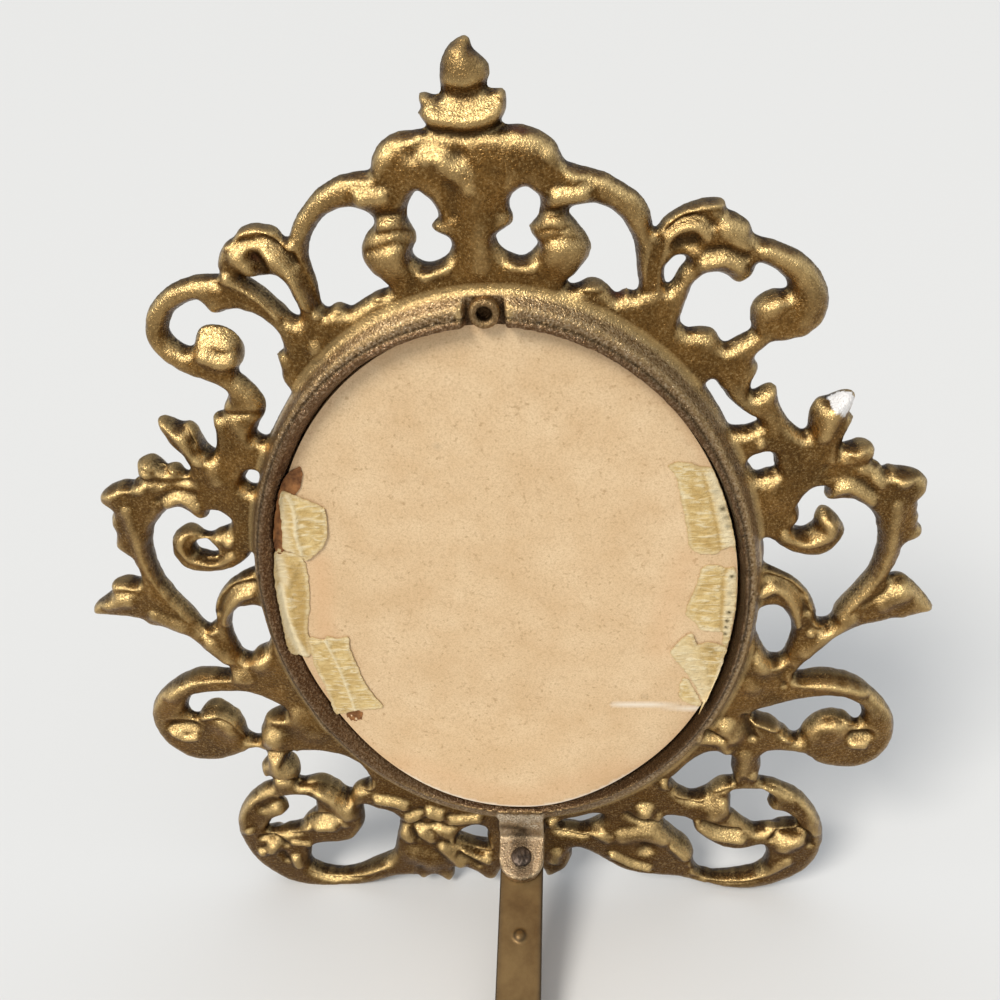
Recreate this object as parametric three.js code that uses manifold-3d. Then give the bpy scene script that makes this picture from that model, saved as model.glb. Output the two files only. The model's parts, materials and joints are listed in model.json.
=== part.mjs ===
// Easel photo frame: a gilt cast frame with an oval opening, standing on its two
// bottom scrolls and on a flat strap leg that swings on a rivet.
//
// Millimetres, +Z up, back of the frame towards +Y. The casting is drawn in its own
// plane: u to the right and v up as seen from the back, n towards the back.

import * as THREE from 'three';
import Module from 'manifold-3d';
import { mergeVertices } from 'three/addons/utils/BufferGeometryUtils.js';

const wasm = await Module();
wasm.setup();
const { Manifold } = wasm;

// Stance
const LEAN = 3;
const LEG_SLOPE = 20;
const FOOT_FLAT = 0.6;

// Oval ring, with n measured from the middle of the scrolls
const RING_U = 0.9;
const RING_V = 116.3;
const RECESS_HALF_WIDTH = 56.4;
const RECESS_HALF_HEIGHT = 73.4;
const LIP = 1.6;
const SLOPE_SIDES = 4;
const SLOPE_ENDS = 5.8;
const SIGHT_STEP = 3.5;
const RIM_BACK = 8;
const SHELF = -0.8;
const RING_FRONT = -5;
const SIGHT_EDGE = 1.6;
const FRONT_ROUND = 0.5;
const FRONT_SETBACK = 2.4;
const SLOPE_FOOT = 1.2;
const LIP_ROUND = 0.3;
const RING_SEGMENTS = 64;

// Things held in the recess
const CLEARANCE = 0.3;
const EDGE_PLAY = 0.8;
const GLASS_THICK = 1.8;
const PRINT_THICK = 0.4;
const CARD_THICK = 1.8;
const TAPE_THICK = 0.3;
const OVAL_SEGMENTS = 32;

// Scrolls and leaves
const SCROLL_SIDES = 6;
const SCROLL_TURN = 42;
const SCROLL_DEPTH = 0.5;
const SCROLL_DEPTH_LEAST = 1.1;
const SCROLL_DEPTH_MOST = 4.2;
const RELIEF_STEP = 0.32;
const ORNAMENT_TOLERANCE = 0.5;
const CASTING_TOLERANCE = 0.2;

// Screw boss at the top of the ring
const BOSS_ABOVE_RECESS = 3.5;
const BOSS_RADIUS = 3.6;
const BOSS_HOLE = 1.5;
const BOSS_HOLE_DEPTH = 5;
const BOSS_BACK = 7.6;

// Lug and tongue for the leg
const LUG_U = 0.7;
const LUG_WIDTH = 12.8;
const LUG_FACE = 7;
const LUG_HEIGHT = 11.6;
const TONGUE_THICK = 2.6;
const RIVET_REACH = 5.9;

// Strap leg and its rivet
const STRAP_WIDTH = 12.2;
const STRAP_THICK = 2;
const STRAP_CORNER = 2.5;
const LEG_TOE = 2;
const PIP_REACH = 20.6;
const PIP_RADIUS = 2.2;
const PIP_HEIGHT = 0.9;
const SHANK_RADIUS = 1.6;
const RIVET_HEAD_RADIUS = 3;
const RIVET_HEAD_HEIGHT = 1.3;
const RIVET_FOOT_RADIUS = 2.7;
const RIVET_FOOT_HEIGHT = 1;
const RIVET_FOOT_CHAMFER = 0.4;

const radians = THREE.MathUtils.degToRad;

// A point given from the oval's centre, in hundredths of the recess's half width and half height
function fromOval(across, up) {
  return [RING_U + (across / 100) * RECESS_HALF_WIDTH, RING_V + (up / 100) * RECESS_HALF_HEIGHT];
}

// A bar's half width, in hundredths of the oval's mean half size
function barWidth(share) {
  return (share / 100) * (RECESS_HALF_WIDTH + RECESS_HALF_HEIGHT) / 2;
}

// Solids for joining and cutting

function solidOf(geometry) {
  geometry.deleteAttribute('normal');
  geometry.deleteAttribute('uv');
  const merged = mergeVertices(geometry, 1e-4);
  return new Manifold(new wasm.Mesh({
    numProp: 3,
    vertProperties: new Float32Array(merged.attributes.position.array),
    triVerts: new Uint32Array(merged.index.array),
  }));
}

function geometryOf(solid) {
  const mesh = solid.getMesh();
  const geometry = new THREE.BufferGeometry();
  geometry.setAttribute('position', new THREE.BufferAttribute(mesh.vertProperties, 3));
  geometry.setIndex(new THREE.BufferAttribute(mesh.triVerts, 1));
  const faceted = geometry.toNonIndexed();
  faceted.computeVertexNormals();
  return faceted;
}

function indexedSolid(points, triangles) {
  const geometry = new THREE.BufferGeometry();
  geometry.setAttribute('position', new THREE.Float32BufferAttribute(points, 3));
  geometry.setIndex(triangles);
  return solidOf(geometry);
}

// Neighbouring bars and knobs stand at slightly different heights, so that each reads as its own layer
function relief(index) {
  return RELIEF_STEP * ((index % 5) - 2);
}

// A scroll: a rounded bar along a curve in the plane, given as [across, up, half width]
function scroll(points, index) {
  const last = points.length - 1;
  const places = points.map(([across, up]) => new THREE.Vector3(...fromOval(across, up), relief(index)));
  const curve = new THREE.CatmullRomCurve3(places);
  const rings = [];
  const ringAt = (t, along, shrink) => {
    const place = Math.min(t * last, last - 1e-6);
    const i = Math.floor(place);
    const width = barWidth(THREE.MathUtils.lerp(points[i][2], points[i + 1][2], place - i));
    const centre = curve.getPoint(t);
    const tangent = curve.getTangent(t);
    centre.addScaledVector(tangent, along * width);
    const depth = Math.min(SCROLL_DEPTH * width + SCROLL_DEPTH_LEAST, SCROLL_DEPTH_MOST);
    rings.push({ centre, tangent, width: width * shrink, depth: depth * shrink });
  };
  ringAt(0, -0.6, 0.62);
  for (let i = 0; i < last; i += 1) {
    const turn = curve.getTangent(i / last).angleTo(curve.getTangent((i + 1) / last));
    const steps = Math.max(1, Math.ceil(turn / radians(SCROLL_TURN)));
    for (let s = 0; s < steps; s += 1) {
      ringAt((i + s / steps) / last, 0, 1);
    }
  }
  ringAt(1, 0, 1);
  ringAt(1, 0.6, 0.62);
  const positions = [];
  for (const { centre, tangent, width, depth } of rings) {
    for (let j = 0; j < SCROLL_SIDES; j += 1) {
      const angle = (2 * Math.PI * j) / SCROLL_SIDES;
      const across = width * Math.cos(angle);
      const back = depth * Math.sin(angle);
      positions.push(centre.x - tangent.y * across, centre.y + tangent.x * across, centre.z + back);
    }
  }
  const triangles = [];
  for (let i = 0; i + 1 < rings.length; i += 1) {
    for (let j = 0; j < SCROLL_SIDES; j += 1) {
      const a = i * SCROLL_SIDES + j;
      const d = i * SCROLL_SIDES + ((j + 1) % SCROLL_SIDES);
      const b = a + SCROLL_SIDES;
      const c = d + SCROLL_SIDES;
      triangles.push(a, d, b, b, d, c);
    }
  }
  for (const [ring, way] of [[rings[0], -1], [rings[rings.length - 1], 1]]) {
    const tip = ring.centre.clone().addScaledVector(ring.tangent, way * 0.35 * ring.width);
    const tipIndex = positions.length / 3;
    const first = way < 0 ? 0 : (rings.length - 1) * SCROLL_SIDES;
    positions.push(tip.x, tip.y, tip.z);
    for (let j = 0; j < SCROLL_SIDES; j += 1) {
      const here = first + j;
      const next = first + ((j + 1) % SCROLL_SIDES);
      triangles.push(tipIndex, way < 0 ? next : here, way < 0 ? here : next);
    }
  }
  return indexedSolid(positions, triangles);
}

// A knob, bead or leaf lobe: an ellipsoid given as [across, up, half width, half height, depth]
function knob([across, up, halfWidth, halfHeight, depth], index) {
  const ball = new THREE.SphereGeometry(1, 8, 6);
  ball.rotateX(Math.PI / 2);
  ball.scale((halfWidth / 100) * RECESS_HALF_WIDTH, (halfHeight / 100) * RECESS_HALF_HEIGHT, depth);
  ball.translate(...fromOval(across, up), relief(index) + RELIEF_STEP / 2);
  return solidOf(ball);
}

// An oval plate concentric with the recess, its edge a given step outside the recess wall
function ovalPlate(step, nLow, nHigh) {
  const outline = new THREE.Shape();
  const halfWidth = RECESS_HALF_WIDTH + step;
  const halfHeight = RECESS_HALF_HEIGHT + step;
  outline.absellipse(RING_U, RING_V, halfWidth, halfHeight, 0, 2 * Math.PI);
  const plate = new THREE.ExtrudeGeometry(outline, {
    depth: nHigh - nLow,
    bevelEnabled: false,
    curveSegments: OVAL_SEGMENTS,
  });
  plate.translate(0, 0, nLow);
  return solidOf(plate);
}

// The ring: a section of [step at the sides, step at the ends, n] carried round the oval
function ovalRing(section) {
  const positions = [];
  const triangles = [];
  for (let i = 0; i < RING_SEGMENTS; i += 1) {
    const angle = (2 * Math.PI * i) / RING_SEGMENTS;
    for (const [side, end, n] of section) {
      const u = RING_U + (RECESS_HALF_WIDTH + side) * Math.cos(angle);
      const v = RING_V + (RECESS_HALF_HEIGHT + end) * Math.sin(angle);
      positions.push(u, v, n);
    }
  }
  const count = section.length;
  for (let i = 0; i < RING_SEGMENTS; i += 1) {
    const next = (i + 1) % RING_SEGMENTS;
    for (let k = 0; k < count; k += 1) {
      const up = (k + 1) % count;
      triangles.push(i * count + k, next * count + k, i * count + up);
      triangles.push(next * count + k, next * count + up, i * count + up);
    }
  }
  return indexedSolid(positions, triangles);
}

// How low a solid reaches along a direction
function lowestAlong(direction, solid) {
  const { vertProperties } = solid.getMesh();
  let lowest = Infinity;
  for (let i = 0; i < vertProperties.length; i += 3) {
    const reach = direction.reduce((sum, part, axis) => sum + part * vertProperties[i + axis], 0);
    lowest = Math.min(lowest, reach);
  }
  return lowest;
}

function cylinder(radius, low, high, sides = 28) {
  const body = new THREE.CylinderGeometry(radius, radius, high - low, sides);
  body.rotateX(Math.PI / 2);
  body.translate(0, 0, (low + high) / 2);
  return solidOf(body);
}

function block(low, high) {
  const size = high.map((h, i) => h - low[i]);
  const body = new THREE.BoxGeometry(...size);
  body.translate(...high.map((h, i) => (h + low[i]) / 2));
  return solidOf(body);
}

// Cast ornament, from the crest down, placed from the oval so that it follows the oval's size

const crestScrolls = [
  [[-1.2, 159, 5.9], [-0.9, 164.2, 7.9], [-2.3, 168.8, 6.2], [-0.5, 171.8, 2.3]],
  [[-2.3, 153.5, 9.9], [-2.1, 146.7, 11.4]],
  [[-1.6, 144, 8], [10.8, 144.6, 7.4], [20.4, 143.5, 7.6], [25, 140.7, 6.6]],
  [[-1.6, 144, 8], [-15.8, 144.8, 7.6], [-26.1, 144, 8.2], [-30.3, 141, 6.9]],
  [[-2, 138.6, 11.4], [-1.6, 131.1, 10.6], [-2.5, 122.9, 6.9], [-2.7, 112.7, 8.5]],
  [[-26.4, 135.8, 3.4], [-16.7, 137.2, 3.7], [12.6, 137.2, 3.7], [23.2, 135.8, 3.4]],
  [[-28.2, 112.1, 4.9], [-15.8, 112.1, 4.9], [-1.6, 112.7, 5.2], [12.6, 112.1, 4.9], [23.2, 112.1, 4.9]],
];
const crestKnobs = [
  [-2.7, 155.2, 14.5, 4.4, 4.2],
  [-15.1, 158.2, 3, 2.3, 1.8], [9.8, 158.2, 3, 2.3, 1.8],
  [-14, 125.7, 3.9, 2.2, 2.4], [9.6, 126, 3.4, 2.2, 2.4],
  [28.4, 118.9, 10.8, 8.2, 4.6], [20, 124.3, 2.8, 2.2, 2],
  [-32.6, 118.7, 10.6, 8.2, 4.6], [-23.9, 124.4, 2.8, 2.5, 2],
];

// Upper right as seen from the back: crest arm, bud, loop and leaf strip
const upperRightScrolls = [
  [[25, 138.8, 5.2], [36.5, 136.1, 4.5], [46.8, 132.6, 4.3], [54.1, 126.6, 4],
    [58.2, 118.8, 3.7], [60.3, 109.9, 3.9], [62.2, 99, 5.2], [63.1, 92.2, 5.5]],
  [[36.5, 131.7, 1.5], [29.4, 131.7, 2.3], [23.2, 132, 2.2]],
  [[27.1, 133.8, 4.6], [27.5, 125.6, 5.2]],
  [[62.8, 118.8, 2.9], [67.6, 123.6, 3.5], [75.5, 126.2, 4.2], [83.5, 124.9, 4.5],
    [89.7, 121.3, 4.6], [92.4, 117.2, 4.3]],
  [[68.6, 92.9, 4.6], [70, 102.5, 3.4], [73, 108.6, 3.2], [79.1, 113.2, 3.5], [87.9, 115.1, 4.3],
    [98.6, 115.4, 4.6], [108.9, 112.4, 5.4], [115.4, 106.7, 5.9], [117.6, 100.4, 6.3], [114.5, 95.8, 6.2],
    [106.6, 92.8, 4.9], [98.6, 89, 4.5], [93.4, 84.3, 5.2], [94.9, 77.5, 5.2]],
  [[76.4, 87.5, 5.5], [87.9, 84.1, 7.1], [94.1, 75.9, 5.1], [102.1, 69.6, 6], [110.1, 61.6, 6.8],
    [120.7, 52.7, 7.7]],
  [[69.3, 92.2, 4.6], [77.3, 84.6, 5.5], [81, 79.4, 3.7]],
  [[92.4, 59.5, 4], [104.8, 57.9, 4.6]],
];
const upperRightKnobs = [
  [80.5, 128.5, 5.7, 1.9, 1.8],
  [93.1, 110.2, 4.3, 3.3, 2.2], [85.3, 111.3, 6.4, 2, 2],
  [105.3, 97.7, 9, 6.4, 3.9],
  [104.8, 72.3, 4.4, 3.7, 2.2],
  [77.3, 91.4, 5.3, 3, 2.2], [83.5, 89.5, 3.5, 2.7, 2],
  [33, 106.7, 5.3, 3.8, 2], [43.6, 104.2, 5.3, 4.6, 2], [53.4, 100.4, 5.7, 5.4, 2],
  [73.8, 118.4, 7.8, 4.9, 1.4],
];

// Right side: leaf cluster, broken lobe, long C scroll, inner curl, leaf tip and arch
const sideRightScrolls = [
  [[104.8, 56.1, 4], [115.4, 51.4, 6.9], [124.3, 45.9, 7.1], [135.8, 42.5, 6.2]],
  [[115.4, 44.6, 6.5], [112.8, 35, 8], [112.8, 27.5, 7.1], [116.8, 21.3, 4.5], [124.3, 18.4, 4.3],
    [131.9, 19.3, 4.9], [135.3, 24.1, 5.2], [132.4, 28.5, 3.1]],
  [[129.6, 50.7, 6.9], [130, 58.2, 7.1], [126.1, 65.8, 4.3], [125.7, 68.1, 2.9]],
  [[132.3, 58.2, 5.9], [134.2, 66.6, 4], [134.9, 69.9, 3.2]],
  [[154.4, 41.8, 6.2], [162.4, 40.9, 5.5], [166.1, 39.1, 4.9]],
  [[135.8, 42.5, 5.5], [147.3, 41.3, 6.2], [156.2, 37.2, 6.5], [161.7, 30.9, 6.2], [163.1, 22.8, 5.5],
    [160.3, 11.9, 4.5],
    [155.7, 1.6, 4.6], [147.9, -9.1, 5.1], [138.5, -20.4, 5.9], [127, -32.4, 6.5]],
  [[136.7, 39.8, 3.4], [133.9, 36.4, 2.3]],
  [[157.1, -5.9, 7.4], [167.4, -4.5, 9.2], [175.7, -6.9, 6.8], [182.1, -9.4, 2.5]],
  [[108.3, 3, 6.5], [116.3, 2.3, 6.8], [124.3, -3.1, 5.5], [129.6, -11.3, 4.9], [131, -20.8, 5.2],
    [127, -29, 5.9]],
  [[105.7, 44, 3.7], [104.8, 35, 4.6]],
];
const sideRightKnobs = [
  [142.6, 50.8, 6.8, 5.4, 3], [152, 46.3, 2.7, 1.9, 1.8],
  [168.6, 23.4, 4.1, 3.5, 2.2], [167.6, 30.4, 3.2, 2.7, 2],
  [115.4, -40.6, 13.3, 9.3, 4.2], [109.8, -26.3, 5.3, 4.6, 2.6],
];

// Lower right: rolled scroll with its knob, bar to the ring, and knot
const lowerRightScrolls = [
  [[119, -45.6, 5.9], [132.3, -44, 5.4], [145.6, -43.7, 5.2], [158, -46.3, 5.2], [166.8, -51.8, 5.4],
    [170.7, -59.3, 6.2],
    [171.1, -67.8, 6.2], [166.5, -75.3, 5.9], [157.1, -78.3, 5.4], [147.3, -75.6, 5.5]],
  [[107.4, -61, 7.1], [118.1, -67.4, 7.1], [129.3, -71.8, 6.5], [140.2, -74.3, 5.9]],
  [[103, -48.1, 5.2], [98, -58.3, 5.5], [92, -68.5, 5.9], [85.6, -74.7, 4.3]],
  [[90.6, -71.3, 2.5], [96.8, -73.2, 3.4], [103.9, -75.9, 3.4]],
  [[111, -74, 5.5], [111.7, -82.2, 5.5], [111.5, -91, 5.9]],
];
const lowerRightKnobs = [
  [148, -67.4, 12.8, 8.2, 4.4], [160.5, -66.3, 6, 4.6, 2.2],
  [104.8, -65.1, 10.6, 8.2, 4],
];

// Bottom right: band from the ring, big foot scroll, inner leaf, bead and leaf mass
const bottomRightScrolls = [
  [[65.8, -99.2, 5.2], [78.2, -102.6, 4.9], [87.1, -104.2, 4.9], [97.7, -101.2, 5.5], [108.3, -95.1, 4.6],
    [117.2, -93.7, 4.6],
    [127, -97.1, 5.2], [137.1, -104.5, 6.2], [144.5, -114.4, 6.8], [146.5, -125.7, 6.5],
    [143.8, -137.3, 6.8], [134.9, -146.7, 6.2],
    [120.7, -152.3, 4.9], [106.6, -152.3, 4.8], [93.3, -147.5, 5.2], [80.9, -140.5, 7.1],
    [67.6, -138, 7.7]],
  [[95, -104, 5.2], [95.9, -113.5, 7.7], [103, -122.3, 7.4], [113.7, -125.7, 5.5], [125.2, -123.6, 5.5],
    [136.7, -121, 4.6]],
  [[132.3, -128.5, 5.5], [134, -138.7, 5.5]],
  [[16.1, -123.7, 4.3], [26.8, -125.1, 4.9], [39.2, -129.2, 6.9], [53.4, -133.9, 10], [67.6, -136, 10.8],
    [79.1, -133.9, 6.9]],
  [[62.2, -109.4, 4], [63.1, -125.7, 6.2]],
  [[43.6, -110.1, 5.2], [49.8, -121.7, 6.5]],
  [[58.7, -103.3, 5.5], [46.3, -104.6, 6.2], [38.3, -105.3, 4.6]],
];
const bottomRightKnobs = [
  [62.2, -108.6, 5.7, 3.8, 3.6], [62.2, -118.1, 6.9, 3.8, 3.2],
  [70.2, -97.1, 4.3, 3, 3],
];

// Upper left: crest arm, bud, loop and neck
const upperLeftScrolls = [
  [[-29.1, 139.4, 5.5], [-39.7, 137.2, 4.6], [-51.6, 134.7, 4.6], [-60.8, 129.3, 4.3],
    [-65.8, 121.4, 3.7], [-65.8, 112, 3.5], [-66.3, 101.1, 4.9], [-66.3, 93.6, 5.5]],
  [[-42.4, 133.1, 1.7], [-35.3, 132.3, 3.5], [-28.2, 131.7, 3.1]],
  [[-31, 133.1, 4.6], [-31.6, 125.6, 5.2]],
  [[-68.6, 118.8, 2.6], [-73, 123, 3.4], [-79.6, 124.9, 4], [-86.7, 122.8, 4.3],
    [-91.7, 118.7, 4.2], [-92.6, 114, 3.5]],
  [[-70.7, 94.3, 4.6], [-77.8, 102.9, 4], [-85.8, 107.8, 4], [-94.7, 110.5, 4.6], [-103.5, 111.2, 4.8],
    [-112.4, 109.9, 4.6], [-120.4, 105.9, 4.5], [-125.5, 99, 4.6], [-125, 92.5, 4.8], [-118.6, 87.9, 5.1],
    [-109.8, 84.6, 6.2], [-100.9, 80.5, 5.9], [-98, 73.8, 6.8], [-100.2, 66.3, 6.8], [-106.2, 58.9, 6.8]],
  [[-105.3, 59.5, 6.5], [-108, 65.8, 4.5], [-109, 67.7, 3.2]],
  [[-92, 59.8, 3.1], [-104.4, 58.9, 3.7]],
];
const upperLeftKnobs = [
  [-81, 127.1, 5.3, 1.8, 1.8],
  [-100.9, 106.4, 5, 3.1, 2.2],
  [-103.7, 91.8, 9.2, 7.2, 3.9],
  [-75.4, 87.6, 6, 4.1, 2], [-77.1, 81.9, 5, 3.8, 2],
  [-40.6, 104, 5.7, 4.4, 2], [-52.3, 99.9, 6, 4.9, 2], [-59, 96.9, 5, 6, 2],
  [-70.7, 92.2, 5.3, 4.6, 2.2], [-77.4, 117.6, 7.8, 4.6, 1.4],
];

// Left side: leaf cluster, long C scroll, ring-shaped curl, leaf tip and arch
const sideLeftScrolls = [
  [[-102.7, 54.8, 4.3], [-113.3, 51.4, 7.7], [-123.9, 48, 7.7], [-132.8, 43.9, 6.8]],
  [[-117.7, 44.6, 6.8], [-114.7, 35, 8.8], [-114.4, 26.2, 7.4], [-117.9, 18.1, 5.5], [-126.8, 14, 4],
    [-136.3, 15.4, 4.5], [-140.8, 20.6, 4.2], [-136.3, 25.1, 3.5], [-130.7, 25.3, 2.5],
    [-126.4, 23.6, 2.3]],
  [[-123, 52.7, 6.5], [-128.4, 60.2, 5.9], [-132.3, 65.5, 4.3], [-133.9, 67.7, 3.1]],
  [[-123, 56.8, 4.9], [-122.9, 64.2, 3.1], [-123.6, 66.1, 2.5]],
  [[-154.1, 42.2, 6.2], [-162.1, 41.8, 5.2], [-167.2, 39.6, 3.9]],
  [[-131.9, 42.6, 5.5], [-145.2, 42.1, 6.2], [-156.4, 38.1, 7.1], [-162.2, 29.6, 6.6], [-162.2, 20, 5.9],
    [-159.8, 10.5, 4.5], [-155.5, 0, 4.5], [-148.2, -9.9, 4.8], [-139.9, -20.2, 5.7], [-128.4, -32.4, 6.5]],
  [[-133.7, 39.1, 3.4], [-130.7, 35, 2]],
  [[-158.5, -4.5, 6.5], [-170, -1.8, 8], [-179.8, -2.7, 6.8], [-187.4, -6, 3.4], [-190.2, -7.2, 1.8]],
  [[-110.6, 3, 6.2], [-119.5, 0.4, 5.4], [-127.1, -5, 4.3], [-131.7, -12.7, 4.3],
    [-133.7, -20.8, 5.1], [-129.3, -29.7, 5.9]],
];
const sideLeftKnobs = [
  [-144, 50.8, 6.9, 4.9, 3], [-133.9, 49.5, 4.6, 3.8, 2.6],
  [-167.2, 22.8, 3.5, 3.5, 2.2], [-173.6, 3.7, 7.4, 2.7, 2.2],
  [-120.4, 21.1, 6, 3.5, 3],
  [-118.6, -40.6, 14.2, 8.7, 4.2], [-109.8, -26.6, 6, 4.8, 2.6],
];

// Lower left: rolled scroll with its knob, mass by the ring, and link
const lowerLeftScrolls = [
  [[-118.6, -44.3, 5.5], [-132.8, -41.3, 4.9], [-146.1, -40.5, 4.9], [-158.5, -42.9, 5.2],
    [-168.3, -48.6, 5.7],
    [-173.9, -56.3, 6], [-175, -65.1, 6], [-170.7, -72.9, 5.9], [-161.2, -77.2, 5.5],
    [-150.5, -76.7, 5.5], [-138.1, -74.7, 5.1], [-125.7, -72.6, 4.6]],
  [[-103.5, -48.1, 5.2], [-98.2, -58.3, 5.9], [-92, -68.5, 6.2], [-83.5, -76.7, 4.6]],
  [[-121.3, -68.5, 5.2], [-122.9, -76, 4.6], [-123.8, -83.5, 6.2], [-123.9, -89, 6.5],
    [-121.3, -93.7, 5.5]],
];
const lowerLeftKnobs = [
  [-147.5, -66.9, 12.9, 8.7, 4.4],
  [-110.6, -65.8, 15.2, 8.2, 4],
];

// Bottom left: band from the ring, big foot scroll, inner leaf and leaf mass
const bottomLeftScrolls = [
  [[-65.4, -106, 4.6], [-77.8, -107.2, 3.4], [-85.8, -104, 4], [-91.1, -99.2, 3.7],
    [-100.9, -95.2, 3.7], [-111.5, -94.7, 4.3],
    [-120.4, -95.1, 4.9], [-130.1, -98.8, 5.5], [-141, -106.7, 6.3], [-147.3, -117.6, 6.8],
    [-147.3, -129.2, 6.9],
    [-142, -140.5, 7.1], [-131, -149.2, 6.2], [-116.8, -152.3, 4.9], [-102.7, -152.3, 4.9],
    [-89.4, -149.2, 5.5],
    [-77, -142.9, 6.8], [-63.7, -138.7, 7.7]],
  [[-100.9, -97.1, 5.2], [-97.3, -106.7, 9.9], [-100, -116.9, 10.5], [-108, -124.7, 6.2],
    [-118.6, -124.9, 4.9],
    [-129.3, -126.3, 4.6], [-139, -129.2, 4.6]],
  [[-125.7, -131.2, 3.7], [-122.2, -140.7, 4], [-125.7, -147.5, 3.7]],
  [[-81.4, -102.6, 4.6], [-78.7, -93.1, 4.3], [-76.1, -82.2, 4.6]],
  [[-67.2, -108, 3.7], [-64.5, -116.2, 3.7], [-60.1, -123, 4.6]],
  [[-65.4, -103.3, 5.5], [-51.2, -105.3, 6.8], [-35.3, -108, 6.8], [-21.1, -110.8, 4.6]],
  [[-19.3, -121.7, 4], [-31.7, -123, 4.9], [-44.1, -125.7, 7.1], [-53.9, -133.2, 10],
    [-54.8, -140.7, 9.2]],
  [[-51.2, -142.1, 6.2], [-55.1, -149.7, 2.3]],
  [[-44.1, -142.1, 6.2], [-42.7, -150.8, 2.3]],
  [[-54.8, -116.2, 5.2], [-54.8, -125.7, 7.7]],
];
const bottomLeftKnobs = [
  [-47, -114, 4.6, 3.3, 3.2], [-57.3, -115.7, 3.9, 2.7, 3.4], [-69.7, -107.5, 6.4, 2.7, 2.8],
];

// Bottom centre: leaf tuft behind the lug
const tuftScrolls = [
  [[-1.6, -113.5, 9.2], [-1.6, -125.7, 10], [-1.6, -138, 9.2], [-1.6, -144.8, 7.7]],
  [[7.3, -127.1, 6.2], [16.1, -134.6, 5.2], [15.4, -142.1, 4.9], [5.5, -145.5, 4.6]],
  [[-33.5, -133.2, 4.3], [-26.4, -141.3, 5.5], [-19.7, -147.5, 4.3], [-8.7, -146.2, 4.6]],
];

const scrolls = [
  crestScrolls, upperRightScrolls, sideRightScrolls, lowerRightScrolls, bottomRightScrolls,
  upperLeftScrolls, sideLeftScrolls, lowerLeftScrolls, bottomLeftScrolls, tuftScrolls,
].flat().map(scroll);
const knobs = [
  crestKnobs, upperRightKnobs, sideRightKnobs, lowerRightKnobs, bottomRightKnobs,
  upperLeftKnobs, sideLeftKnobs, lowerLeftKnobs, bottomLeftKnobs,
].flat().map(knob);

// Ring section, from the back edge of the recess wall round by the front to the lip
const sideBase = LIP + SLOPE_SIDES;
const endBase = LIP + SLOPE_ENDS;
const ring = ovalRing([
  [0, 0, RIM_BACK],
  [0, 0, SHELF],
  [-SIGHT_STEP, -SIGHT_STEP, SHELF],
  [-SIGHT_STEP, -SIGHT_STEP, SHELF - SIGHT_EDGE],
  [-SIGHT_STEP / 2, -SIGHT_STEP / 2, RING_FRONT + FRONT_ROUND],
  [LIP, LIP, RING_FRONT],
  [sideBase, endBase, RING_FRONT + FRONT_SETBACK],
  [sideBase, endBase, SLOPE_FOOT],
  [LIP + 0.85 * SLOPE_SIDES, LIP + 0.85 * SLOPE_ENDS, 0.5 * RIM_BACK],
  [LIP + 0.45 * SLOPE_SIDES, LIP + 0.45 * SLOPE_ENDS, 0.85 * RIM_BACK],
  [LIP, LIP, RIM_BACK - LIP_ROUND],
]);

// Lug under the ring, with the tongue that the leg is riveted to. The hinge frame has
// its origin on the rivet's axis at the tongue's top, y outwards and z along the axis.
const tongueDrop = radians(LEG_SLOPE - LEAN);
const hinge = new THREE.Matrix4().makeBasis(
  new THREE.Vector3(-1, 0, 0),
  new THREE.Vector3(0, -Math.sin(tongueDrop), Math.cos(tongueDrop)),
  new THREE.Vector3(0, Math.cos(tongueDrop), Math.sin(tongueDrop)),
);
const lugTop = RING_V - RECESS_HALF_HEIGHT - LIP / 4;
const tongueRoot = lugTop - LUG_HEIGHT;
const hingeV = tongueRoot - RIVET_REACH * Math.sin(tongueDrop);
const hingeN = LUG_FACE + RIVET_REACH * Math.cos(tongueDrop);
hinge.setPosition(LUG_U, hingeV, hingeN);

const tongueOutline = new THREE.Shape();
tongueOutline.moveTo(LUG_WIDTH / 2, -RIVET_REACH - LUG_FACE / 2);
tongueOutline.lineTo(LUG_WIDTH / 2, 0);
tongueOutline.absarc(0, 0, LUG_WIDTH / 2, 0, Math.PI, false);
tongueOutline.lineTo(-LUG_WIDTH / 2, -RIVET_REACH - LUG_FACE / 2);
const tongueBody = new THREE.ExtrudeGeometry(tongueOutline, {
  depth: TONGUE_THICK,
  bevelEnabled: false,
  curveSegments: 16,
});
tongueBody.translate(0, 0, -TONGUE_THICK);
const rivetHole = cylinder(SHANK_RADIUS + CLEARANCE, -2 * TONGUE_THICK - STRAP_THICK, TONGUE_THICK);
const tongue = solidOf(tongueBody).subtract(rivetHole).transform(hinge.elements);
const lugFloor = tongueRoot - TONGUE_THICK + (LUG_FACE / 2) * Math.tan(tongueDrop);
const lug = block([LUG_U - LUG_WIDTH / 2, lugFloor, 0], [LUG_U + LUG_WIDTH / 2, lugTop, LUG_FACE]);

const bossPlace = [RING_U, RING_V + RECESS_HALF_HEIGHT + BOSS_ABOVE_RECESS, 0];
const boss = cylinder(BOSS_RADIUS, 0, BOSS_BACK).translate(bossPlace);
const bossHole = cylinder(BOSS_HOLE, BOSS_BACK - BOSS_HOLE_DEPTH, RIM_BACK + BOSS_HOLE).translate(bossPlace);

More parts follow.
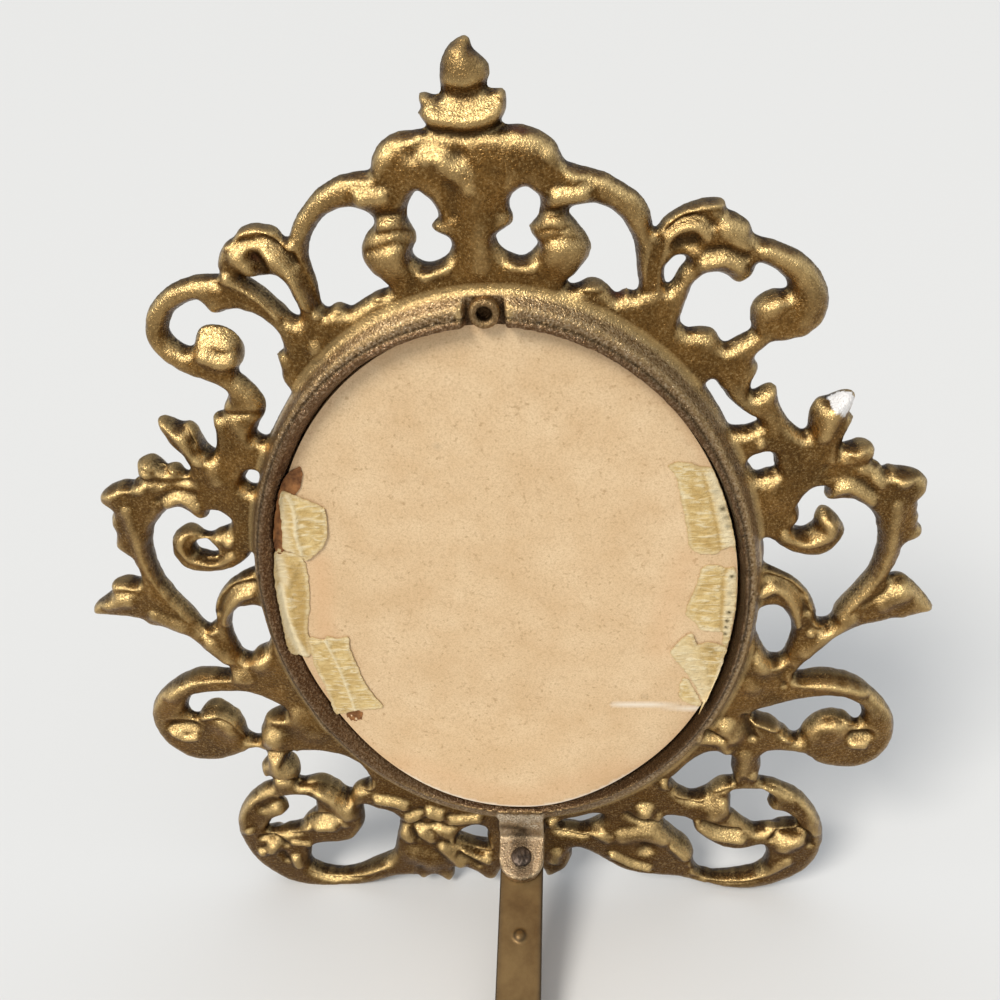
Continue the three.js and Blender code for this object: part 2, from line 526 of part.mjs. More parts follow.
// Casting: ornament cleared out of the recess and the sight opening, then the ring and lug,
// with the two foot scrolls ground flat on the table
const lean = radians(LEAN);
const upInFrame = [0, Math.cos(lean), -Math.sin(lean)];
const recess = ovalPlate(LIP / 2, SHELF + RING_FRONT / 2, 4 * RIM_BACK);
const sight = ovalPlate(-SIGHT_STEP / 2, 4 * RING_FRONT, 4 * RIM_BACK);
const ornament = Manifold.union([...scrolls, ...knobs, lug]).asOriginal().simplify(ORNAMENT_TOLERANCE);
const table = lowestAlong(upInFrame, ornament) + FOOT_FLAT;
const cast = ornament
  .subtract(recess)
  .subtract(sight)
  .add(ring)
  .add(tongue)
  .add(boss)
  .subtract(bossHole)
  .trimByPlane(upInFrame, table)
  .asOriginal()
  .simplify(CASTING_TOLERANCE);

// Glass, print and backing card stacked on the shelf of the recess, settled on its lower wall
const settle = [0, CLEARANCE - EDGE_PLAY, 0];
const glassFront = SHELF + CLEARANCE;
const printFront = glassFront + GLASS_THICK + CLEARANCE;
const cardFront = printFront + PRINT_THICK + CLEARANCE;
const cardBack = cardFront + CARD_THICK;
const glass = ovalPlate(-EDGE_PLAY, glassFront, glassFront + GLASS_THICK).translate(settle);
const print = ovalPlate(-EDGE_PLAY, printFront, printFront + PRINT_THICK).translate(settle);
const card = ovalPlate(-EDGE_PLAY, cardFront, cardBack).translate(settle);

// Old gummed tapes and torn paper lying on the card, cut off at the recess wall
const tapeRoom = ovalPlate(-CLEARANCE, cardBack, RIM_BACK);
function pastedPaper(outline) {
  const shape = new THREE.Shape(outline.map(([across, up]) => new THREE.Vector2(...fromOval(across, up))));
  const sheet = new THREE.ExtrudeGeometry(shape, { depth: TAPE_THICK, bevelEnabled: false });
  sheet.translate(0, 0, cardBack + CLEARANCE);
  return solidOf(sheet).intersect(tapeRoom);
}
const pastedPapers = {
  tape_upper_left: [[-99.1, 42.5], [-89.4, 45.2], [-72.5, 38.4], [-73.4, 27.5], [-77, 21.4], [-84.9, 18.1],
    [-90.2, 23.6], [-104.4, 25.5]],
  tape_middle_left: [[-108, 20], [-95.4, 22.2], [-85.3, 16.5], [-86.7, 7.1], [-93.8, -24.9], [-108, -26.3]],
  tape_lower_left: [[-91.3, -19.5], [-84, -16.1], [-72.5, -16.1], [-70.7, -29.7], [-61.9, -48.1],
    [-76.1, -51.5],
    [-90.2, -52.9], [-97.3, -37.2]],
  tape_upper_right: [[67.6, 50.7], [72.9, 52.7], [85.3, 50.7], [101.2, 18.7], [90.6, 18.7], [83.5, 18],
    [78.2, 20.7],
    [74.6, 34.3], [71.1, 47.3]],
  tape_middle_right: [[77.3, -7.2], [83.5, 11.9], [87.9, 13.9], [95, 11.9], [104.8, 7.8],
    [104.8, -5.9], [95, -16.1]],
  tape_lower_right: [[72, -23.6], [80.9, -14.7], [95.9, -20.8], [101.2, -26.3], [94.1, -56.3]],
  paper_scrap_upper: [[-81.4, 62.9], [-74.3, 59.5], [-78.7, 47.3], [-86.7, 46.6]],
  paper_scrap_lower: [[-84.9, -54.2], [-74.3, -52.7], [-69.9, -61.7], [-76.1, -64.4]],
};

// Strap leg under the tongue, its far end ground flat on the table, with a raised pip
const hingeHeight = hingeV * Math.cos(lean) - hingeN * Math.sin(lean);
const strapTop = -TONGUE_THICK - CLEARANCE;
const strapUnder = strapTop - STRAP_THICK;
const slope = radians(LEG_SLOPE);
const legLength = (hingeHeight + strapUnder * Math.cos(slope) - table) / Math.sin(slope) + LEG_TOE;
const strapOutline = new THREE.Shape();
const cornerAlong = legLength - STRAP_CORNER;
const cornerAcross = STRAP_WIDTH / 2 - STRAP_CORNER;
strapOutline.moveTo(STRAP_WIDTH / 2, 0);
strapOutline.lineTo(STRAP_WIDTH / 2, cornerAlong);
strapOutline.absarc(cornerAcross, cornerAlong, STRAP_CORNER, 0, Math.PI / 2, false);
strapOutline.absarc(-cornerAcross, cornerAlong, STRAP_CORNER, Math.PI / 2, Math.PI, false);
strapOutline.lineTo(-STRAP_WIDTH / 2, 0);
strapOutline.absarc(0, 0, STRAP_WIDTH / 2, Math.PI, 2 * Math.PI, false);
const strapBody = new THREE.ExtrudeGeometry(strapOutline, {
  depth: STRAP_THICK,
  bevelEnabled: false,
  curveSegments: 16,
});
strapBody.translate(0, 0, strapUnder);
const pipBall = new THREE.SphereGeometry(1, 16, 10);
pipBall.scale(PIP_RADIUS, PIP_RADIUS, PIP_HEIGHT + STRAP_THICK / 2);
pipBall.translate(0, PIP_REACH, strapTop - STRAP_THICK / 2);
const leg = solidOf(strapBody)
  .add(solidOf(pipBall))
  .subtract(rivetHole)
  .trimByPlane([0, -Math.sin(slope), Math.cos(slope)], table - hingeHeight);

// Rivet through tongue and strap: domed head on top, peened foot below
const footTop = strapUnder - CLEARANCE;
const rivetProfile = [
  [0, footTop - RIVET_FOOT_HEIGHT],
  [RIVET_FOOT_RADIUS - RIVET_FOOT_CHAMFER, footTop - RIVET_FOOT_HEIGHT],
  [RIVET_FOOT_RADIUS, footTop - RIVET_FOOT_HEIGHT / 2],
  [RIVET_FOOT_RADIUS, footTop],
  [SHANK_RADIUS, footTop],
  [SHANK_RADIUS, CLEARANCE],
  [RIVET_HEAD_RADIUS, CLEARANCE],
  [0.9 * RIVET_HEAD_RADIUS, CLEARANCE + 0.6 * RIVET_HEAD_HEIGHT],
  [0.55 * RIVET_HEAD_RADIUS, CLEARANCE + 0.93 * RIVET_HEAD_HEIGHT],
  [0, CLEARANCE + RIVET_HEAD_HEIGHT],
];
const rivetBody = new THREE.LatheGeometry(rivetProfile.map(([r, z]) => new THREE.Vector2(r, z)), 24);
rivetBody.rotateX(Math.PI / 2);
const rivet = solidOf(rivetBody);

// Scene

function finish(colour, roughness, metalness) {
  return new THREE.MeshStandardMaterial({ color: colour, roughness, metalness });
}
const gilt = finish(0x8a6a35, 0.42, 0.9);
const clearGlass = finish(0xdfe8e6, 0.05, 0);
const printPaper = finish(0xcdbfa0, 0.8, 0);
const peachCard = finish(0xd9b485, 0.9, 0);
const gummedTape = finish(0xd8b872, 0.6, 0);
const brownPaper = finish(0xa5662f, 0.85, 0);
const strapMetal = finish(0x7d715c, 0.5, 0.8);
const rivetMetal = finish(0x4a4640, 0.5, 0.8);

function piece(name, solid, material) {
  const mesh = new THREE.Mesh(geometryOf(solid), material);
  mesh.name = name;
  return mesh;
}

const standing = new THREE.Group();
standing.name = 'standing_frame';
standing.quaternion.setFromRotationMatrix(new THREE.Matrix4().makeBasis(
  new THREE.Vector3(-1, 0, 0),
  new THREE.Vector3(0, Math.sin(lean), Math.cos(lean)),
  new THREE.Vector3(0, Math.cos(lean), -Math.sin(lean)),
));
standing.add(piece('cast_frame', cast, gilt));
standing.add(piece('glass_pane', glass, clearGlass));
standing.add(piece('picture_print', print, printPaper));
standing.add(piece('backing_card', card, peachCard));
for (const [name, outline] of Object.entries(pastedPapers)) {
  standing.add(piece(name, pastedPaper(outline), name.startsWith('tape') ? gummedTape : brownPaper));
}

const hingeGroup = new THREE.Group();
hingeGroup.name = 'leg_hinge';
hinge.decompose(hingeGroup.position, hingeGroup.quaternion, hingeGroup.scale);
hingeGroup.add(piece('easel_leg', leg, strapMetal));
hingeGroup.add(piece('pivot_rivet', rivet, rivetMetal));
standing.add(hingeGroup);

// Origin at the middle of the footprint, on the table
const easelFrame = new THREE.Group();
easelFrame.name = 'easel_photo_frame';
easelFrame.add(standing);
const box = new THREE.Box3().setFromObject(easelFrame, true);
const middle = box.getCenter(new THREE.Vector3());
standing.position.set(-middle.x, -middle.y, -box.min.z);

export default easelFrame;
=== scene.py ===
import json
import math

import bmesh
import bpy
import numpy as np
from mathutils import Matrix, Vector
from mathutils.geometry import delaunay_2d_cdt


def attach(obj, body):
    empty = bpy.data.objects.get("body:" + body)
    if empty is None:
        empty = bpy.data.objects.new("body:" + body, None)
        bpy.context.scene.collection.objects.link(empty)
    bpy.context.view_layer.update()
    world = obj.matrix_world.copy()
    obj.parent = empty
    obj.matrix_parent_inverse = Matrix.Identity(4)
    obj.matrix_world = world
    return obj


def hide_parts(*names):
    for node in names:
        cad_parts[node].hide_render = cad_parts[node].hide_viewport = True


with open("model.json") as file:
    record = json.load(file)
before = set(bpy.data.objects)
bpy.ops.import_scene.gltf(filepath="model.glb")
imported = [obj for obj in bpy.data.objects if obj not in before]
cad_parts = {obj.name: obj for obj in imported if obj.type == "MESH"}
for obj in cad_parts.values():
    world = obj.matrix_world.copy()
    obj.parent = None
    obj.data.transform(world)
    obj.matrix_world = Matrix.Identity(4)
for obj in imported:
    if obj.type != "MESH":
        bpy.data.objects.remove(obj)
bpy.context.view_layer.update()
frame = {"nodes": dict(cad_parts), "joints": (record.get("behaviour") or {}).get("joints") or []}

# Casting
# One openwork piece of white metal, cast in sand: scrolls, leaves, oval ring, screw boss and the lug
# for the leg. It was painted all over with bronze-gold gilt, worn to a satin brown on the ring.

# The casting leans back, so pieces are drawn in its own plane: u to the right and v up as seen from
# behind, n out of the back, in millimetres.
LEAN = math.radians(3)
MM_PER_M = 1000
HINGE_POINT = np.array([0.7, 29.175, 12.642])
PLANE_AXES = np.array([
    [-1, 0, 0],
    [0, math.sin(LEAN), math.cos(LEAN)],
    [0, math.cos(LEAN), -math.sin(LEAN)],
])
plane_origin = np.array(frame["joints"][0]["pos_m"]) - HINGE_POINT / MM_PER_M @ PLANE_AXES


def stand_up(points):
    """Points of the casting's plane as they stand on the table, in metres."""
    return plane_origin + np.asarray(points, float) / MM_PER_M @ PLANE_AXES


def lay_down(points):
    """Points on the table in the casting's plane, in millimetres."""
    return (np.asarray(points, float) - plane_origin) @ PLANE_AXES.T * MM_PER_M


# Outlines and tool marks are drawn as the eye behind the frame sees them against the middle plane.
EYE = np.array([21.764, 270.926, 195.714])


def as_seen(points):
    """Where the eye sees points of the casting against its middle plane."""
    depth = np.abs(points[:, 2:])
    return points[:, :2] + (points[:, :2] - EYE[:2]) * depth / (EYE[2] - depth)


RING_CENTRE = np.array([0.9, 116.3])
RECESS_HALF = np.array([56.4, 73.4])
LIP_WIDTH = 1.6
BAND_WIDTH_SIDES = 4
BAND_WIDTH_ENDS = 5.8
RIM_BACK = 8
TINY = 1e-9


def outside_recess(places):
    """How far places of the plane lie outside the recess wall, in millimetres."""
    across, up = ((places - RING_CENTRE) / RECESS_HALF).T
    reach = np.hypot(across, up) + TINY
    slope = np.hypot(across / RECESS_HALF[0], up / RECESS_HALF[1]) / reach
    return (reach - 1) / slope


def ease(low, high, value):
    """0 below low, 1 above high and a smooth rise between."""
    part = np.clip((value - low) / (high - low), 0, 1)
    return part * part * (3 - 2 * part)


CURVE_PULL = 0.4


def curve_through(points, step, closed=False):
    """A smooth line through given points, as points a small step apart."""
    points = np.array(points, float)
    if len(points) == 1:
        return points
    if closed:
        ends = np.vstack([points[-1:], points, points[:2]])
    else:
        ends = np.vstack([points[:1], points, points[-1:]])
    line = []
    for a, b, c, d in zip(ends, ends[1:], ends[2:], ends[3:]):
        count = max(1, round(float(np.linalg.norm(c - b)) / step))
        for t in np.arange(count) / count:
            here = (2 * t**3 - 3 * t**2 + 1) * b + (3 * t**2 - 2 * t**3) * c
            line.append(here + CURVE_PULL * ((t**3 - 2 * t**2 + t) * (c - a) + (t**3 - t**2) * (d - b)))
    if not closed:
        line.append(points[-1])
    return np.array(line)


def is_inside(places, loops):
    """Whether places lie inside an odd number of closed lines."""
    odd = np.zeros(len(places), bool)
    for loop in loops:
        for (u0, v0), (u1, v1) in zip(loop, np.roll(loop, -1, 0)):
            if v0 != v1:
                cross = u0 + (places[:, 1] - v0) * (u1 - u0) / (v1 - v0)
                odd ^= ((places[:, 1] > v0) != (places[:, 1] > v1)) & (places[:, 0] < cross)
    return odd


ROW_SHARE = 0.87
CLEAR_SHARE = 0.6
JOIN_REACH = 1e-4


def fill(loops, step):
    """Even triangles that fill closed lines: their points, faces and each point's way to a line."""
    rim = np.vstack(loops)
    low, high = rim.min(0), rim.max(0)
    columns = np.arange(low[0], high[0], step)
    rows = np.arange(low[1], high[1], step * ROW_SHARE)
    grid = np.array([(u + (row % 2) * step / 2, v) for row, v in enumerate(rows) for u in columns])
    grid = grid[is_inside(grid, loops)]
    apart = np.full(len(grid), np.inf)
    for point in rim:
        apart = np.minimum(apart, np.hypot(*(grid - point).T))
    kept = apart > step * CLEAR_SHARE
    places = np.vstack([rim, grid[kept]])
    sides, start = [], 0
    for loop in loops:
        sides += [(start + i, start + (i + 1) % len(loop)) for i in range(len(loop))]
        start += len(loop)
    corners = [Vector(place) for place in places]
    made, _, faces, origins, _, _ = delaunay_2d_cdt(corners, sides, [], 0, JOIN_REACH)
    made = np.array(made)
    way = np.zeros(len(made))
    for spot, source in enumerate(origins):
        if source and source[0] >= len(rim):
            way[spot] = apart[kept][source[0] - len(rim)]
    faces = np.array(faces)
    faces = faces[is_inside(made[faces].mean(1), loops)]
    return made, faces, way


def sides_of(faces):
    """The three sides of each triangle."""
    return np.vstack([faces[:, [0, 1]], faces[:, [1, 2]], faces[:, [2, 0]]])


def spread(values, edges, rounds):
    """Each point's value averaged with its neighbours', as often as asked."""
    values = np.array(values, float)
    count = np.bincount(edges.ravel(), minlength=len(values)) + 1
    for _ in range(rounds):
        for axis in range(values.shape[1]):
            column = values[:, axis]
            total = column + np.bincount(edges[:, 0], column[edges[:, 1]], len(column))
            total += np.bincount(edges[:, 1], column[edges[:, 0]], len(column))
            values[:, axis] = total / count
    return values


def new_object(name, data):
    """A new object in the scene that holds a mesh, a light or a camera."""
    thing = bpy.data.objects.new(name, data)
    bpy.context.scene.collection.objects.link(thing)
    return thing


def add_skin(work, points, faces):
    """A closed skin, given in the casting's plane, added to a mesh that is being made."""
    made = [work.verts.new(point) for point in stand_up(points)]
    for face in faces:
        if len(set(face)) == len(face):
            work.faces.new([made[i] for i in face])


def add_sweep(work, rows):
    """A closed skin from rows of section points that go round once."""
    count, wide = len(rows), len(rows[0])
    faces = []
    for i in range(count):
        for j in range(wide):
            after, beside = (i + 1) % count, (j + 1) % wide
            faces.append((i * wide + j, after * wide + j, after * wide + beside, i * wide + beside))
    add_skin(work, np.vstack(rows), faces)


def add_prism(work, ends):
    """A closed skin between two like outlines, the first of which faces back."""
    count = len(ends[0])
    faces = [tuple(range(count)), tuple(range(2 * count - 1, count - 1, -1))]
    faces += [(i + count, (i + 1) % count + count, (i + 1) % count, i) for i in range(count)]
    add_skin(work, np.vstack(ends), faces)


# The outer line of the ornament, clockwise from the finial's tip
OUTER = [
    (0.2, 243.4), (1.7, 243.2), (2.1, 242), (2, 241.3), (3.6, 240), (5, 238.3), (5.1, 236.6), (4.3, 234.4),
    (7.3, 234.2), (7.9, 232.6), (7.8, 230.8), (7.4, 229.3), (6.3, 227.8), (10, 227.6), (14, 226.2),
    (17, 223.6), (18.4, 220.5), (22, 219.3), (26, 218), (30, 215.5), (33, 213.2), (34.8, 210),
    (35.5, 206.6), (37, 208.6), (40, 210.6), (43.5, 211.9), (47.5, 212.2), (49.4, 211.3), (49.3, 210.1),
    (52, 208.7), (54.3, 206.5), (55.1, 204.6), (60, 203), (65, 200.3), (69, 196), (71, 191), (70.8, 187),
    (69, 184), (66, 182.1), (62, 181.5), (60, 181.2), (57.6, 178.8), (57.2, 177.6), (58, 176.2),
    (57.8, 174.6), (57.1, 172.5), (57, 170.4), (58.5, 171.5), (60.6, 172.2), (62.3, 171), (62.8, 168.2),
    (64, 165.2), (66.5, 162), (69.2, 160.3), (69.3, 163), (69.6, 166), (71.2, 168.5), (72.6, 168.3),
    (74, 169), (76.5, 170.2), (78.8, 169.4), (78.8, 166.8), (78.1, 164.8), (79.3, 163.3), (79, 161.5),
    (78, 159.5), (77.7, 157), (79, 156.8), (81, 157.7), (83.5, 157.2), (84.9, 155), (84.8, 152.6),
    (86.5, 151.5), (87.5, 150.2), (89, 150.9), (91, 150.2), (93, 150.1), (95.8, 149), (97.6, 146.5),
    (97.5, 143.5), (96.2, 142), (96.6, 140.3), (96.3, 139), (97.2, 137.5), (97, 135.5), (98.4, 134.2),
    (98.5, 132), (97, 130.5), (95, 129.5), (94.6, 126.5), (93.8, 123), (92.8, 120.3), (94, 120.8),
    (96.5, 120.3), (98.5, 118.5), (101, 115.8), (103.3, 112.7), (104.9, 110), (104.5, 108.6), (102, 108.5),
    (99.5, 107.7), (97.5, 106.6), (95.5, 107), (93, 106), (89, 105), (86, 103.5), (83, 101.5), (80.2, 98),
    (77.5, 94.5), (75.5, 92), (74, 89), (80, 89.6), (85, 89), (90, 86.8), (94.5, 83), (98, 78.5),
    (100.8, 73), (101.6, 68), (101, 63), (99, 58.5), (95.5, 55.3), (91, 54.2), (86, 54.8), (82, 56.5),
    (79.5, 58.8), (77, 59.8), (72.5, 60.5), (69.5, 60.3), (67.8, 58.5), (68, 54), (67.5, 50.3), (72, 49),
    (76, 46.5), (80, 43.2), (84, 37.5), (86.8, 31), (88, 24), (87.3, 17), (84.5, 10.5), (79.5, 5.5),
    (73, 2), (66.5, 0.6), (60, 1), (54, 2.8), (49.5, 4.8), (45.5, 6), (41, 6.4), (37, 6.8), (32, 8),
    (28, 10.3), (24.5, 13.3), (20, 17), (15.5, 19), (14.8, 14), (13, 9.5), (10, 6.5), (6.8, 4.6), (5, 9),
    (0, 12), (-6, 9), (-8.3, 4.4), (-10, 3.4), (-12.7, 3.7), (-14.7, 6.1), (-17.4, 8.1), (-19.7, 9.1),
    (-21.2, 9.1), (-21.7, 5.4), (-22.3, 2.4), (-23.7, 1.5), (-26, 3.4), (-27.7, 5.3), (-29.7, 4.1),
    (-31, 2.5), (-32.7, 3.1), (-34, 4.4), (-36, 4.6), (-40, 3.9), (-44, 2.4), (-48, 0.7), (-52, -0.6),
    (-56.7, -1.3), (-62, -1.6), (-66.7, -1.4), (-71.3, -0.3), (-76, 1.7), (-80, 5.4), (-83, 9.4), (-85, 14),
    (-86.3, 19.4), (-86.8, 24.7), (-86, 30), (-84.3, 34.7), (-81.3, 39.4), (-78, 43), (-74.7, 45.7),
    (-72.4, 46.9), (-74, 49.2), (-74.6, 51.8), (-73.8, 54.6), (-71.8, 56.6), (-72.6, 58.8), (-72.6, 61),
    (-74.5, 60.6), (-78, 58.8), (-82, 57), (-86, 55.8), (-91, 55.8), (-94.8, 57), (-97.1, 59.1),
    (-99.3, 61.6), (-100.8, 64.6), (-101.6, 67.6), (-101.9, 70.6), (-101.6, 73.6), (-100.6, 77),
    (-98.8, 80.2), (-96.5, 83), (-93.9, 85.3), (-91.8, 86.8), (-89.2, 88.3), (-86.3, 89.8), (-83.3, 90.6),
    (-80.3, 90.7), (-77.3, 90.2), (-75.4, 90), (-76.5, 93), (-78.3, 95), (-81.1, 98.4), (-83.4, 101.6),
    (-86.3, 103.6), (-89.1, 105.3), (-93.7, 106.4), (-94.6, 107.9), (-97.7, 109), (-100.6, 109.3),
    (-104.6, 109.9), (-107.8, 109.9), (-108.3, 110.7), (-107.2, 112.8), (-105.2, 114.8), (-102.6, 116.5),
    (-100.9, 117.9), (-101.7, 119.8), (-100.3, 120.5), (-98.3, 121.7), (-95.4, 122.1), (-93.2, 121.6),
    (-92, 122.2), (-92.3, 126.2), (-92.9, 128.5), (-94.6, 130.2), (-95.7, 131.7), (-95.7, 133.1),
    (-94.9, 135.1), (-94.7, 136.5), (-95, 138.8), (-94.6, 140.8), (-93.7, 142.6), (-94.9, 143.9),
    (-95.7, 144.3), (-96.1, 145.7), (-94.9, 147.7), (-92.6, 149.4), (-90, 150.4), (-88.6, 150.7),
    (-86.6, 150.4), (-85.7, 151.3), (-84.3, 152), (-84.6, 153.7), (-83.9, 156), (-82.3, 157.3),
    (-80, 157.5), (-77, 155.4), (-76, 155.8), (-74.2, 155.6), (-72.2, 153.4), (-71.6, 154.6),
    (-72.5, 157.5), (-74.8, 161), (-76, 164), (-76.5, 166.5), (-75.8, 168.2), (-73.5, 167.8),
    (-70.8, 165.8), (-69.8, 166.3), (-68, 166.2), (-66.8, 164.5), (-66.5, 162), (-66.2, 159.3),
    (-65, 158.3), (-63.8, 160.5), (-63.2, 165), (-63.3, 166.5), (-62.5, 168.4), (-60.2, 168.9),
    (-59.8, 170.2), (-58.4, 172.5), (-58.8, 174.2), (-61, 175.6), (-66, 177.8), (-70, 180.6), (-73, 184.5),
    (-73.4, 188.5), (-71.7, 193), (-68, 197), (-63, 199.8), (-58, 200.9), (-53.9, 200.7), (-54.2, 202),
    (-53.2, 205), (-51.2, 207.4), (-49.2, 208.5), (-48, 210), (-45.5, 211), (-42, 210.8), (-39.5, 209.6),
    (-38.3, 207.5), (-36.5, 211), (-34, 214), (-31, 217), (-27, 219.3), (-23, 220.3), (-19.6, 220.5),
    (-19.2, 222.3), (-17.5, 225), (-14, 227.2), (-9, 227.6), (-7.6, 227.9), (-8.4, 229.2), (-9.2, 230.4),
    (-8.4, 231.5), (-8.7, 232.5), (-8.6, 234), (-7.6, 234.2), (-4.8, 233.5), (-4.4, 234.2), (-4.5, 236.5),
    (-3.9, 239.5), (-2.2, 242),
]

